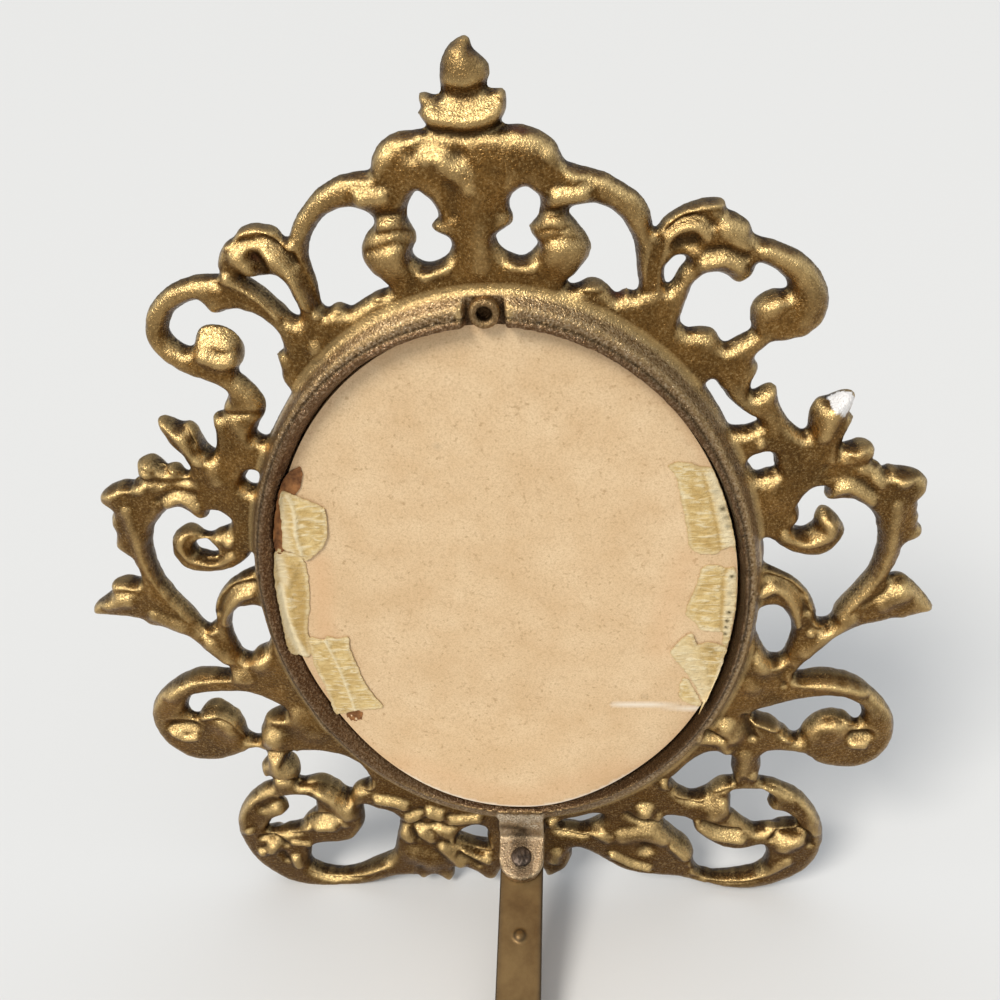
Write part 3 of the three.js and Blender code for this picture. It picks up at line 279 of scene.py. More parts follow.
# The openings between the scrolls, from the crest down, right side after left
OPENINGS = [
    [(-10.6, 216), (-8, 213.5), (-7.2, 211.5), (-7, 210.8), (-8.8, 209.4), (-8.7, 208.4), (-6.9, 206.9),
     (-5.2, 206.2), (-5.1, 204.5), (-6, 203), (-8.5, 201.6), (-10.5, 201.4), (-12.4, 202.3), (-13, 204),
     (-12, 205.5), (-11.6, 207), (-12.5, 209.2), (-13.2, 210.5), (-13, 212.5), (-12.3, 214)],
    [(10.5, 216), (8, 214.5), (7.3, 212.5), (8, 210.3), (8, 209), (6, 207.6), (4.3, 206.5), (5, 204.5),
     (7, 202.8), (9, 202), (10.8, 202.7), (12.3, 204.7), (11.3, 206.3), (10.8, 208), (12.2, 209.5),
     (13, 211.5), (13, 214), (11.8, 215)],
    [(-27, 213), (-24.5, 213.2), (-22, 212.5), (-20.4, 211), (-20, 210.2), (-22, 208), (-23.5, 205),
     (-23.4, 202), (-21.5, 199.3), (-18.7, 196.6), (-21.5, 195.8), (-24, 194.6), (-27.5, 192.7),
     (-30, 193.8), (-32, 192.8), (-33.3, 193), (-33.5, 199), (-34.3, 204), (-33, 208), (-30, 211.5)],
    [(19.2, 211.2), (22, 212), (25, 211.5), (28, 209.8), (30.3, 206.5), (31.5, 203.5), (32, 199),
     (32.4, 194.8), (31.5, 193.8), (29.5, 194.7), (28.3, 193.3), (26, 195.8), (23, 197), (20.5, 196),
     (18, 196.2), (20, 198), (22.8, 201.5), (23, 204.5), (21.3, 207.5), (19.2, 209.9)],
    [(-48.6, 200.2), (-46, 199.6), (-42, 199.8), (-39.8, 197.5), (-38.6, 192.5), (-38.9, 191), (-41, 192.5),
     (-43.5, 195.5), (-46.5, 198.4)],
    [(38, 195.5), (37.9, 198.5), (39.5, 200.6), (41.8, 200.5), (40, 197.5), (38.5, 195)],
    [(-59.5, 194.8), (-62.5, 194.5), (-65.6, 192.6), (-67.4, 189.5), (-67.2, 187), (-65, 185.1),
     (-63.2, 185), (-62.8, 186), (-61.5, 188.6), (-58.5, 189.8), (-55, 189.2), (-52.6, 187), (-52.2, 184.5),
     (-52.8, 181), (-54.3, 178.4), (-51.3, 175), (-49.8, 171.5), (-50.2, 168.5), (-52.5, 165),
     (-53.3, 162.5), (-51, 162.5), (-47, 168.3), (-43.8, 173.2), (-45.4, 176.5), (-44.9, 178.8),
     (-45.3, 181), (-45.3, 182.6), (-43.6, 183.5), (-43.8, 186), (-45, 188.5), (-47.5, 191), (-51, 192.6),
     (-54.5, 192.4), (-55.8, 191.8), (-57.5, 192.2)],
    [(41.3, 186.8), (42, 190), (43.5, 194.5), (46, 196.8), (49.5, 196.6), (51, 195.4), (52.6, 194.6),
     (54, 195), (55.8, 197), (56, 198.5), (59, 197.5), (61.5, 195.3), (62.2, 193), (60, 193.3), (57, 192),
     (55.2, 189.5), (55.4, 186), (55.6, 184.6), (53, 183.3), (50.5, 181.9), (49.6, 183), (48, 185),
     (45, 185.6), (43, 185.3)],
    [(48.5, 173.3), (50, 171.5), (52, 168.5), (55.5, 165.2), (58.6, 163), (53.2, 162), (51, 165.5),
     (49, 169), (47.2, 172.3)],
    [(-57.9, 152), (-57.1, 152.9), (-55.3, 152.9), (-55.3, 151.4), (-56.2, 149.4), (-57.6, 149.4),
     (-58.5, 150.6)],
    [(57.6, 152.8), (58.8, 154.4), (62.2, 154.8), (62.8, 153), (63.1, 151), (61.8, 151), (60.4, 150),
     (59, 150.4)],
    [(-77.7, 143), (-75.4, 142.6), (-74.2, 141.1), (-72.5, 139.7), (-71.3, 139.1), (-70.1, 140),
     (-69.4, 141.4), (-67.9, 142), (-66.2, 141.4), (-65.1, 140), (-65.1, 138.3), (-66.2, 137.4),
     (-67.9, 137.1), (-69.9, 136), (-70.8, 135.6), (-72, 136.2), (-73.1, 137.4), (-74.8, 137.9),
     (-76.8, 137.7), (-78.8, 136.5), (-80.5, 134.5), (-81.4, 132.2), (-81.7, 129.9), (-81.1, 127.4),
     (-80, 125.4), (-77.7, 123.9), (-74.8, 123.4), (-72, 123.4), (-69.1, 123.9), (-66.2, 125.1),
     (-63.6, 126.8), (-61.9, 128.5), (-60.9, 129.7), (-60.9, 126.8), (-61.3, 125.1), (-63.9, 124.2),
     (-66.8, 122.5), (-69.7, 120.2), (-71.9, 117.6), (-73.7, 114.8), (-75.1, 111.3), (-75.4, 109),
     (-75.8, 107.4), (-77.1, 107.3), (-78, 106.2), (-79.1, 108.5), (-80.8, 111.9), (-82.8, 115.6),
     (-84.6, 119.1), (-85.7, 122.2), (-86.3, 125.6), (-86.4, 129.1), (-86, 132.5), (-85.1, 135.4),
     (-83.7, 138.3), (-81.7, 140.5), (-79.7, 142.3)],
    [(-75.1, 131.4), (-74.5, 132.8), (-73.1, 133.4), (-71.7, 133.4), (-71.1, 132.2), (-69.7, 129.9),
     (-71.1, 129.4), (-73.1, 129.7), (-74.5, 130.2)],
    [(74.7, 145.8), (75, 143.3), (76.3, 141.7), (78.5, 142.3), (81.5, 142), (84.5, 140.2), (86.8, 137.5),
     (88.2, 133), (88.5, 128.5), (88, 124), (86.5, 119.8), (84, 115.5), (81.5, 111), (79.8, 106.5),
     (77.6, 107.3), (76.7, 110.5), (75.3, 114), (73, 117.5), (70, 120.5), (66, 123), (63.4, 124.5),
     (63.1, 128), (62.7, 131.9), (64.8, 130.6), (68, 128), (72, 126.6), (75.5, 126.3), (78.5, 128),
     (80.5, 130.8), (81, 133.5), (79.6, 136.5), (77.5, 139), (75.5, 140.2), (74.3, 139.7), (73.2, 137.8),
     (73.2, 136), (72.3, 134.3), (70.5, 134), (69, 135), (70.4, 136.8), (70.2, 138.6), (69.7, 141),
     (70.7, 143.5), (72.5, 145.2)],
    [(-64.8, 112.5), (-67.4, 112.2), (-69.7, 110.7), (-70.8, 108.5), (-71.4, 105.6), (-71.3, 102.2),
     (-70.7, 98.7), (-69.9, 96.4), (-69.1, 95.6), (-67.9, 97), (-66.2, 98.1), (-64.2, 99), (-62.5, 101),
     (-61.3, 104.4), (-60.9, 108.5), (-61.6, 111.3), (-63.3, 112.5)],
    [(63.2, 110), (64.5, 111.3), (67, 111.2), (69.5, 109), (71, 106), (71.3, 102.5), (70.5, 98.5),
     (69.5, 95.5), (68, 94.6), (66.3, 96), (64.5, 99.5), (63, 103.5)],
    [(-89.7, 77.9), (-89, 79.6), (-87.5, 81.1), (-85, 81.9), (-81.6, 82.3), (-78.2, 82.5), (-74.7, 82.5),
     (-71.8, 82.1), (-68.8, 80.9), (-66.2, 79.1), (-64.1, 77.6), (-62.6, 76.2), (-64.1, 75.6), (-66, 75.3),
     (-67.9, 74.5), (-69.2, 73.2), (-70.1, 71), (-70.9, 69.3), (-71.5, 68.1), (-72, 65.9), (-73.9, 65.4),
     (-74.7, 66.3), (-75.2, 68.5), (-75.4, 70.6), (-76.2, 73.2), (-77.5, 75.3), (-79, 76.8), (-80.7, 77.9),
     (-82.4, 78.2), (-84.1, 77.9), (-85.8, 77), (-87.1, 75.7), (-88, 74.9), (-89.2, 74.9), (-89.8, 75.7)],
    [(65, 76), (67.5, 76.7), (72, 78.5), (77, 80), (82, 80.8), (86.5, 80.3), (90, 78.5), (91.8, 76.3),
     (91.9, 74), (91.2, 72.6), (88.5, 74.5), (85, 75.4), (82, 75), (79.5, 73), (77.3, 70), (76.3, 66.7),
     (74, 68.5), (72, 70.2), (70.5, 72), (67, 73.7), (64.5, 74.6)],
    [(-63, 58.4), (-60.6, 59.5), (-56.8, 59.5), (-53, 58.9), (-48.7, 57.4), (-46.6, 55.7), (-45.4, 54.7),
     (-43.2, 50), (-43.3, 47.6), (-46, 47), (-48, 45.2), (-49.5, 42.5), (-50.6, 41.2), (-51.4, 43.4),
     (-53.4, 45.7), (-56, 47.7), (-59.4, 48.6), (-63.6, 47.8), (-62.8, 50), (-62.6, 52.7), (-63.6, 55),
     (-65.2, 56.6), (-64.4, 57.8)],
    [(58.8, 58.8), (59.6, 56), (59.8, 52.5), (60.3, 49.8), (57.5, 49.5), (55, 47.5), (52.5, 44.6),
     (50, 43.8), (47, 45), (45, 46.5), (43.5, 49), (46, 52.5), (50, 57.5), (54, 60)],
    [(-70, 40.1), (-65.4, 40.7), (-61.4, 40.1), (-61, 37.4), (-61.2, 34.4), (-62.7, 33.1), (-65.4, 30.7),
     (-67.4, 28.7), (-70, 28.1), (-73.4, 27.4), (-76.4, 26.4), (-75.7, 28.7), (-74, 30.7), (-71.4, 32.1),
     (-69.4, 33.4), (-69, 35.4), (-69.2, 37.8)],
    [(61, 44.3), (64, 45), (68.5, 44.6), (70.9, 43), (70.6, 40), (71.5, 37), (75, 35.8), (78, 33.5),
     (79.4, 30.8), (77, 31), (72, 31.5), (69, 30), (66, 31.5), (63, 34.5), (61, 36.5), (60.6, 40)],
    [(-46, 37.4), (-42.7, 35.4), (-38.7, 34), (-36.6, 31.4), (-36.7, 28), (-37.7, 24), (-38.7, 20),
     (-39.7, 16.7), (-42, 14), (-45.4, 12), (-49.4, 9.7), (-53.4, 7.9), (-58, 7), (-62, 7.7), (-65, 9.7),
     (-65.9, 12), (-65.4, 16), (-64.7, 18), (-60.7, 19.4), (-55.4, 20), (-52, 21.4), (-49.3, 24),
     (-47.3, 28), (-46.4, 32)],
    [(41.5, 33.5), (42.5, 29.5), (46, 25), (49, 22), (51, 18), (51.2, 13.5), (53, 10), (58, 8.6), (64, 9.3),
     (69, 11), (71.3, 13.5), (72, 17), (71.5, 19.8), (70, 21.3), (67, 19.7), (63.3, 19), (58.8, 20.2),
     (54.3, 23.4), (50.8, 28), (49.2, 32), (46, 33.2)],
    [(-18.5, 24.4), (-16, 27.2), (-12.4, 28.6), (-10.6, 26.5), (-10.6, 22.7), (-10.8, 20.7), (-13.3, 21),
     (-15.3, 22)],
    [(11, 31), (16, 32), (21, 34), (23.5, 34.5), (22.5, 31.5), (18.5, 29.6), (15, 30.2)],
]

OUTLINE_STEP = 0.8
FILL_STEP = 1.0
BACK_HEIGHT = 3.7
FRONT_HEIGHT = 3.0
EDGE_ROUND = 3.2
EDGE_ROUND_LEAST = 1
THIN_POWER = 0.6
WIDE_REACH = 4
BULGE_SHARE = 0.6
BULGE_MOST = 1.5
BULGE_ROUNDS = 4
RING_OVERLAP = 1.2
OVAL_POINTS = 240


def drawn_in(loop, outer):
    """A line moved into the metal by what the round section behind it hides from the eye."""
    ahead = np.roll(loop, -1, 0) - np.roll(loop, 1, 0)
    turn = np.sum(loop[:, 0] * np.roll(loop[:, 1], -1) - loop[:, 1] * np.roll(loop[:, 0], -1))
    out = np.column_stack([ahead[:, 1], -ahead[:, 0]]) * (1 if turn > 0 else -1)
    out /= np.linalg.norm(out, axis=1)[:, None] + TINY
    lean = ((loop - EYE[:2]) / EYE[2] * out).sum(1) * BACK_HEIGHT
    bulge = np.minimum(BULGE_SHARE * (np.hypot(EDGE_ROUND, lean) - EDGE_ROUND), BULGE_MOST)
    for _ in range(BULGE_ROUNDS):
        bulge = (np.roll(bulge, 1) + 2 * bulge + np.roll(bulge, -1)) / 4
    return loop - out * bulge[:, None] * (1 if outer else -1)


turns = np.linspace(0, 2 * math.pi, OVAL_POINTS, endpoint=False)
round_oval = np.column_stack([np.cos(turns), np.sin(turns)])
loops = [drawn_in(curve_through(OUTER, OUTLINE_STEP, True), True)]
loops += [drawn_in(curve_through(opening, OUTLINE_STEP, True), False) for opening in OPENINGS]
loops.append(RING_CENTRE + round_oval * (RECESS_HALF + RING_OVERLAP))
places, faces, way = fill(loops, FILL_STEP)
edges = np.unique(np.sort(sides_of(faces), 1), axis=0)
wide = way.copy()
for _ in range(WIDE_REACH):
    for one, other in ((0, 1), (1, 0)):
        np.maximum.at(wide, edges[:, one], wide[edges[:, other]])
wide = spread(wide[:, None], edges, WIDE_REACH)[:, 0]
edge_round = np.clip(wide, EDGE_ROUND_LEAST, EDGE_ROUND)
swell = np.sqrt(1 - (1 - np.minimum(way / edge_round, 1)) ** 2) * (edge_round / EDGE_ROUND) ** THIN_POWER
work = bmesh.new()
inner = np.flatnonzero(way > 0)
front_of = np.arange(len(places))
front_of[inner] = len(places) + np.arange(len(inner))
skin = np.vstack([
    np.column_stack([places, BACK_HEIGHT * swell]),
    np.column_stack([places[inner], -FRONT_HEIGHT * swell[inner]]),
])
faces = faces[(way[faces] > 0).any(1)]
add_skin(work, skin, np.vstack([faces, front_of[faces][:, ::-1]]).tolist())

# The oval ring: a sweep of its section, from the recess wall over the front and back up the sloped band
SIGHT_STEP = 3.5
SHELF = -0.8
RING_FRONT = -5
WALL_TOP = 4.2
WALL_SLOPE = 0.9
WALL_LEAN_FROM, WALL_LEAN_TO = 0.8, 0.2
LEFT_WEAR = 1.5
LEFT_WEAR_FROM, LEFT_WEAR_FULL = 0.1, 0.8


def worn_wider(across):
    """How much wider the lip is at the left, where the recess wall leans out."""
    return LEFT_WEAR * ease(LEFT_WEAR_FROM, LEFT_WEAR_FULL, -across)


rows = []
for across, up in round_oval:
    wear = worn_wider(across)
    lean = WALL_SLOPE * (1 - ease(WALL_LEAN_TO, WALL_LEAN_FROM, up)) + wear
    lip = LIP_WIDTH + wear
    outer = LIP_WIDTH + BAND_WIDTH_SIDES * across**2 + BAND_WIDTH_ENDS * up**2
    band = outer - lip
    section = [
        (0, WALL_TOP), (0, SHELF), (-SIGHT_STEP, SHELF), (-SIGHT_STEP, -2.4),
        (-SIGHT_STEP / 2, RING_FRONT + 0.5), (LIP_WIDTH, RING_FRONT), (outer, -2.6), (outer, 1.2),
        (lip + 0.85 * band, 4), (lip + 0.45 * band, 6.8), (lip + 0.8, 7.1), (lip + 0.4, 6.5), (lip, 6.6),
        (lip - 0.2, 7.7), (lean + 0.2, RIM_BACK - 0.3),
    ]
    rows.append([(*(RING_CENTRE + (RECESS_HALF + step) * (across, up)), n) for step, n in section])
add_sweep(work, rows)

# The lug under the ring, and the tongue on it that the leg is riveted to
LUG_HALF_WIDTH = 6.4
LUG_TOP = 42.5
LUG_CHIN = 30
LUG_FOOT = 27.5
LUG_FACE = 7
TONGUE_DROP = math.radians(17)
TONGUE_THICK = 2.6
TONGUE_ROOT = 9.4
ARC_POINTS = 24
hinge_axes = np.array([
    [1, 0, 0],
    [0, -math.sin(TONGUE_DROP), math.cos(TONGUE_DROP)],
    [0, math.cos(TONGUE_DROP), math.sin(TONGUE_DROP)],
])
lug = [(LUG_FOOT, 0), (LUG_TOP, 0), (LUG_TOP, LUG_FACE), (LUG_CHIN, LUG_FACE)]
add_prism(work, [[(HINGE_POINT[0] + side * LUG_HALF_WIDTH, v, n) for v, n in lug] for side in (-1, 1)])
arc = np.linspace(0, math.pi, ARC_POINTS)
tongue = [(LUG_HALF_WIDTH, -TONGUE_ROOT), *zip(LUG_HALF_WIDTH * np.cos(arc), LUG_HALF_WIDTH * np.sin(arc)),
          (-LUG_HALF_WIDTH, -TONGUE_ROOT)]
tongue_faces = [np.array([(*place, z) for place in tongue]) for z in (0, -TONGUE_THICK)]
add_prism(work, [HINGE_POINT + face @ hinge_axes for face in tongue_faces])


def even_faced(name, work, voxel):
    """The skins of a mesh joined into one and rebuilt in even small faces."""
    mesh = bpy.data.meshes.new(name)
    work.to_mesh(mesh)
    work.free()
    thing = new_object(name, mesh)
    remesh = thing.modifiers.new("even_faces", "REMESH")
    remesh.mode = "VOXEL"
    remesh.voxel_size = voxel / MM_PER_M
    even = bpy.data.meshes.new_from_object(thing.evaluated_get(bpy.context.evaluated_depsgraph_get()))
    thing.modifiers.clear()
    thing.data = even
    even.name = name
    for face in even.polygons:
        face.use_smooth = True
    return thing


def vectors_of(thing, kind):
    """The places or the normals of a piece's points, on the table."""
    flat = np.zeros(len(thing.data.vertices) * 3, np.float32)
    thing.data.vertices.foreach_get(kind, flat)
    return flat.reshape(-1, 3)


def points_of(thing):
    return lay_down(vectors_of(thing, "co"))


def normals_of(thing):
    return vectors_of(thing, "normal") @ PLANE_AXES.T


def move_points(thing, points):
    thing.data.vertices.foreach_set("co", stand_up(points).astype(np.float32).ravel())
    thing.data.update()


def edges_of(thing):
    flat = np.zeros(len(thing.data.edges) * 2, np.int32)
    thing.data.edges.foreach_get("vertices", flat)
    return flat.reshape(-1, 2)


def rounded(points, edges, rounds, loose=1):
    """Points smoothed without shrinking, where loose is 1, and kept where it is 0."""
    soft = spread(points, edges, rounds)
    soft -= spread(soft - points, edges, rounds)
    return points + (soft - points) * np.broadcast_to(loose, len(points))[:, None]


STROKE_STEP = 0.5


def strokes_at(places, strokes):
    """The sum of tool strokes at places of the plane: each is a height, a half width and a line."""
    total = np.zeros(len(places))
    for height, half_width, line in strokes:
        path = curve_through(line, STROKE_STEP)
        low, high = path.min(0) - half_width, path.max(0) + half_width
        near = np.flatnonzero(((places > low) & (places < high)).all(1))
        if not len(near):
            continue
        apart = np.full(len(near), np.inf)
        for point in path:
            apart = np.minimum(apart, np.hypot(*(places[near] - point).T))
        total[near] += height * np.clip(1 - (apart / half_width) ** 2, 0, None) ** 2
    return total


def set_mask(thing, name, values):
    """A value from 0 to 1 at each point, which the piece's material reads by name."""
    mask = thing.data.attributes.new(name, "FLOAT", "POINT")
    mask.data.foreach_set("value", np.clip(values, 0, 1).astype(np.float32))


# The pattern carver's forms on the back: height, half width and the line they follow
CARVING = [
    # Finial and its cup
    (0.7, 5, [(0.3, 238.5), (0.3, 236)]),
    (-0.5, 1.2, [(0.2, 241.8), (1.4, 241.6), (2.2, 241)]),
    (0.5, 1, [(-2, 241)]),
    (0.5, 1, [(2.8, 239.6)]),
    (0.4, 0.9, [(3.8, 237.8)]),
    (-1.2, 1.8, [(-4.4, 234), (0, 233.2), (4.3, 234.2)]),
    (-0.6, 1.6, [(-5.5, 232.4), (0, 231.8), (5.5, 232.4)]),
    (1.6, 2.4, [(-6.5, 229.2), (0, 228.2), (6, 229.2)]),
    (0.8, 1.6, [(-7.8, 233)]),
    (0.8, 1.5, [(-8.4, 230.6)]),
    (0.8, 1.6, [(7, 233)]),
    (0.8, 1.5, [(7.4, 230.8)]),
    (-0.9, 1.6, [(-8, 227.2), (0, 225.8), (7, 227.2)]),
    # Crest with its shallow forked valley
    (1.2, 9, [(-10, 219), (10, 219)]),
    (0.9, 4, [(0.4, 214), (0.4, 200)]),
    (-0.7, 2.6, [(-2, 222.5), (-7, 224.5), (-11, 223)]),
    (0.7, 2.6, [(-8, 222), (-4.6, 223.6)]),
    (1.1, 3.2, [(-4.6, 220.6), (-0.6, 217)]),
    (-0.6, 2.4, [(-4.5, 216.5), (-4.5, 211)]),
    (-0.6, 2.4, [(5, 219), (5.2, 211)]),
    (0.8, 3, [(-17, 222), (-20, 217.5)]),
    (0.8, 3, [(16.5, 221.5), (20, 217)]),
    # Crest knobs with their collars
    (1.6, 2.6, [(-22, 214.6), (-18, 214.8)]),
    (-1, 1.6, [(-20.5, 211), (-16, 211.2), (-12.6, 212)]),
    (0.9, 1.5, [(-19.5, 209.2), (-15.5, 209.6), (-12.6, 209)]),
    (2.2, 7, [(-17.3, 202.6)]),
    (-0.5, 1.4, [(-22, 204), (-16, 205.6), (-12.6, 204.6)]),
    (1, 2.4, [(-11, 198.6), (-7, 200)]),
    (1.6, 2.6, [(21.5, 213.4), (16.5, 213.2)]),
    (-1, 1.6, [(19.6, 210.8), (16, 210.4), (12.4, 211)]),
    (0.9, 1.4, [(18.6, 208.6), (15, 208.6), (12, 208)]),
    (2.2, 7, [(17, 202.6)]),
    (-0.5, 1.4, [(21.6, 204.4), (17, 205.4), (12.6, 204.4)]),
    (1, 2.4, [(7.5, 200), (11, 199.4)]),
    # Fringe on the ring's top
    (1.2, 1.8, [(-21.5, 194.6)]),
    (1.2, 1.8, [(-30, 192.2)]),
    (1, 1.6, [(-35, 190.6)]),
    (1.2, 2, [(21.4, 195.2), (24, 195)]),
    (1.2, 1.8, [(30, 193.4)]),
    (0.8, 3, [(-36.5, 182.6)]),
    # Left bud and loop
    (1.1, 1.6, [(-51.5, 206.5), (-48, 209.4), (-44, 210), (-40.5, 208.6), (-38.6, 205.6)]),
    (-1, 1.6, [(-47.6, 207), (-43.5, 207.4), (-40, 205.4), (-38.4, 202)]),
    (1.3, 3, [(-49.6, 203.6), (-47.6, 201.4)]),
    (-1.6, 2.2, [(-46.2, 203.4), (-45, 200.8)]),
    (1.1, 2.2, [(-42.4, 202.6), (-39.6, 198.6), (-37.6, 193.6)]),
    (0.9, 1.5, [(-43.6, 204.4), (-40, 202), (-38, 197), (-36.6, 192.4)]),
    (-0.8, 1.5, [(-38, 203.6), (-36, 198), (-34.8, 193)]),
    (1.2, 1.8, [(-55, 200), (-50.6, 198), (-46.6, 194.8), (-43.4, 191)]),
    (1.5, 2.6, [(-62, 181.8), (-58, 180), (-53.8, 181)]),
    (-1.3, 3.6, [(-60, 187), (-55.4, 186.6)]),
    (-0.6, 1.2, [(-60, 167.6), (-55, 167.4), (-51, 168)]),
    (0.6, 3, [(-58, 164), (-56, 160)]),
    # Right bud and loop
    (1, 1.5, [(36.4, 206), (39.5, 209), (43.5, 210.4), (48, 210.8)]),
    (-0.8, 1.5, [(38.4, 206.4), (41.5, 208.2), (45, 208.2), (47, 206.6)]),
    (1, 1.5, [(38.4, 204), (40.6, 206.2), (43.6, 206.4), (46, 204.2)]),
    (-1.6, 2.8, [(40.6, 203), (43, 203)]),
    (1, 3.4, [(50, 205.4), (53, 202.6)]),
    (1.1, 2, [(45.6, 198.4), (49.4, 199), (52.6, 197.4)]),
    (-0.8, 1.5, [(46, 201.4), (50, 201.6), (54, 200)]),
    (-0.7, 1.8, [(36.6, 203.4), (35.4, 198), (35, 193)]),
    (0.6, 3, [(58, 201), (64, 197.6), (67.6, 191.4), (66.4, 186)]),
    (0.9, 4.5, [(59.4, 189)]),
    (1, 2, [(43.6, 184.8), (47, 184.4)]),
    (1, 1.6, [(50, 182.6)]),
    # Left leaves, curl and arch
    (1.3, 2.4, [(-74, 165.6), (-71.4, 160), (-69.4, 155.6)]),
    (1.2, 2, [(-68.2, 164.4), (-67.6, 159)]),
    (-0.8, 1.6, [(-70.6, 165.4), (-69.4, 160.6)]),
    (0.9, 3.6, [(-67, 155), (-66, 150)]),
    (1.4, 2.6, [(-81.4, 154.6)]),
    (1.3, 2.2, [(-75.6, 153.6)]),
    (1, 2, [(-83, 151.6)]),
    (-0.9, 1.5, [(-78, 155.6), (-78.2, 152)]),
    (-0.8, 1.8, [(-84.6, 150.4), (-79, 149.4), (-73, 149.6)]),
    (1, 2.6, [(-94, 146.4), (-90, 148.2), (-86, 148)]),
    (1.2, 2, [(-79.6, 143.6), (-76, 145), (-72.8, 142.4)]),
    (-0.6, 1.8, [(-82, 144.6), (-77.6, 147.2), (-72.6, 146.4)]),
    (0.8, 2.6, [(-90.6, 141), (-90.4, 133), (-89.4, 124), (-86.6, 115.6), (-82.6, 108)]),
    (0.9, 1.6, [(-67, 127.6), (-72, 125.6), (-77.6, 127), (-79.6, 131), (-77.4, 135), (-73.6, 135.6)]),
    (1.2, 2, [(-67, 131.8)]),
    (0.8, 1, [(-74.4, 128.8), (-72, 128.2), (-69.8, 128.8)]),
    (0.8, 3, [(-99, 119.4), (-95, 119)]),
    (1.1, 3, [(-103.6, 113), (-98, 113.6)]),
    (0.8, 2.6, [(-92, 108.6), (-86, 104.6)]),
    (1.4, 2, [(-64.6, 116), (-68.4, 114.4), (-71.6, 110.4), (-73, 106.4)]),
    (-0.9, 1.6, [(-63, 119.4), (-68, 118), (-72, 114), (-74.4, 109.6)]),
    (0.6, 1.2, [(-64, 121.4), (-69, 119.4), (-73, 115.6), (-75.4, 110.4)]),
    (1, 2, [(-79.4, 106), (-78, 103.4)]),
    (0.8, 3, [(-79, 98), (-75.6, 93)]),
    # Right leaves, curl and arch
    (1.2, 3, [(75, 164), (73.6, 158.6)]),
    (-0.6, 1.3, [(71.8, 168), (71, 164)]),
    (1.4, 2.6, [(81.4, 154.4)]),
    (-0.8, 1.5, [(77.6, 156.4), (77.6, 152)]),
    (-0.7, 1.8, [(85, 151.2), (80, 149.6), (75, 150)]),
    (1.4, 3, [(92.6, 146.6)]),
    (0.8, 3, [(87, 146)]),
    (1.3, 2, [(76.6, 143.8), (81, 144.6), (86, 141)]),
    (-0.6, 1.8, [(75, 147.4), (80.6, 147.8), (86, 144.6)]),
    (0.8, 2.6, [(92, 139), (92.4, 131), (91, 122), (87.6, 114.6), (83, 107)]),
    (1.2, 2.6, [(68, 131.6), (73, 129.6), (77.4, 131.4), (78, 134.8)]),
    (0.6, 5, [(64, 142)]),
    (0.8, 1.6, [(60, 156.4)]),
    (0.8, 1.6, [(60.6, 148.4)]),
    (1.4, 2, [(63.8, 114.4), (66.6, 116), (69.6, 113.8), (71.8, 109.6), (72.8, 104.6)]),
    (-0.9, 1.6, [(64.5, 119.6), (69.4, 117.4), (73, 113.4), (74.8, 108.6)]),
    (0.6, 1.2, [(65, 121.8), (70.4, 118.8), (74.2, 114.6), (76, 109.6)]),
    (1.1, 2, [(78.2, 104.8)]),
    (1, 1.8, [(76.6, 101.4)]),
    (0.9, 3.4, [(97, 113.4), (93, 110.6)]),
    (-0.5, 1.2, [(99, 116.4), (102, 112.2), (103.6, 110.4)]),
    (-0.6, 1.6, [(95.4, 118.8), (92.6, 114.6), (88.6, 110.6)]),
    (0.8, 2.8, [(86, 106), (80, 100), (76, 95)]),
    # Left knuckle, lower loop and the two beads under it
    (1.3, 5, [(-67, 92)]),
    (1.1, 4, [(-72, 86.6), (-80, 87.6), (-88, 85.6), (-94.6, 80.6)]),
    (-0.5, 2.6, [(-75.6, 90.6), (-72, 87.8)]),
    (1, 6, [(-82.2, 67)]),
    (1.4, 2.2, [(-87.4, 72.4), (-82.4, 73.4), (-78.4, 71), (-75.8, 66)]),
    (-0.5, 4, [(-84, 65.4)]),
    (-1.5, 3, [(-97, 68.4), (-94, 68.6), (-91.4, 68.2)]),
    (1.2, 1.6, [(-97.4, 65.8), (-94.6, 63.6), (-91.4, 63.8)]),
    (1.6, 6.5, [(-60, 71), (-57, 67)]),
    (1.2, 4, [(-66, 71.6)]),
    (2.2, 5.2, [(-68.4, 63)]),
    (-1.6, 2, [(-72, 57.2), (-68.2, 56.6), (-64.2, 57)]),
    (2.6, 6, [(-68.5, 51.2)]),
    (-1.2, 2, [(-73, 46.4), (-68, 45.6), (-63.6, 46.4)]),
    # Right knuckle, lower loop and the forked necks under it
    (1.8, 5.5, [(65.6, 91)]),
    (1, 4.5, [(63.4, 83.6)]),
    (1.2, 3.4, [(75, 85.4), (83.4, 84), (91.6, 82)]),
    (-0.7, 1.6, [(72.6, 89.6), (70.4, 86.6), (71.6, 84)]),
    (1, 6.5, [(84.6, 67)]),
    (-0.6, 4, [(84, 66)]),
    (1.3, 2, [(80, 73.6), (85.6, 74.4), (90.4, 71)]),
    (-1.8, 2.6, [(91.6, 65.4), (95, 65.6)]),
    (1.2, 2, [(91.6, 62.2), (94.4, 62)]),
    (2.2, 4.6, [(57.4, 68.2), (59, 65.4)]),
    (1.9, 3.4, [(66.6, 71.4), (70.4, 69.4)]),
    (1.2, 3, [(75, 64.6)]),
    (-1.3, 2, [(62.4, 72), (63.4, 68.6), (65, 64.6)]),
    (1.5, 2.6, [(51.2, 64), (55.4, 63.4), (58.4, 60)]),
    (-0.9, 1.6, [(52.6, 66.6), (56.6, 65.4)]),
    (1, 3.4, [(63.6, 57), (63.4, 51)]),
    # Left foot with its inner leaf
    (1.3, 1.8, [(-64, 46.6), (-57.4, 47.6), (-52, 44.4)]),
    (1.9, 4.4, [(-58, 41), (-54.6, 37), (-52.4, 31.6)]),
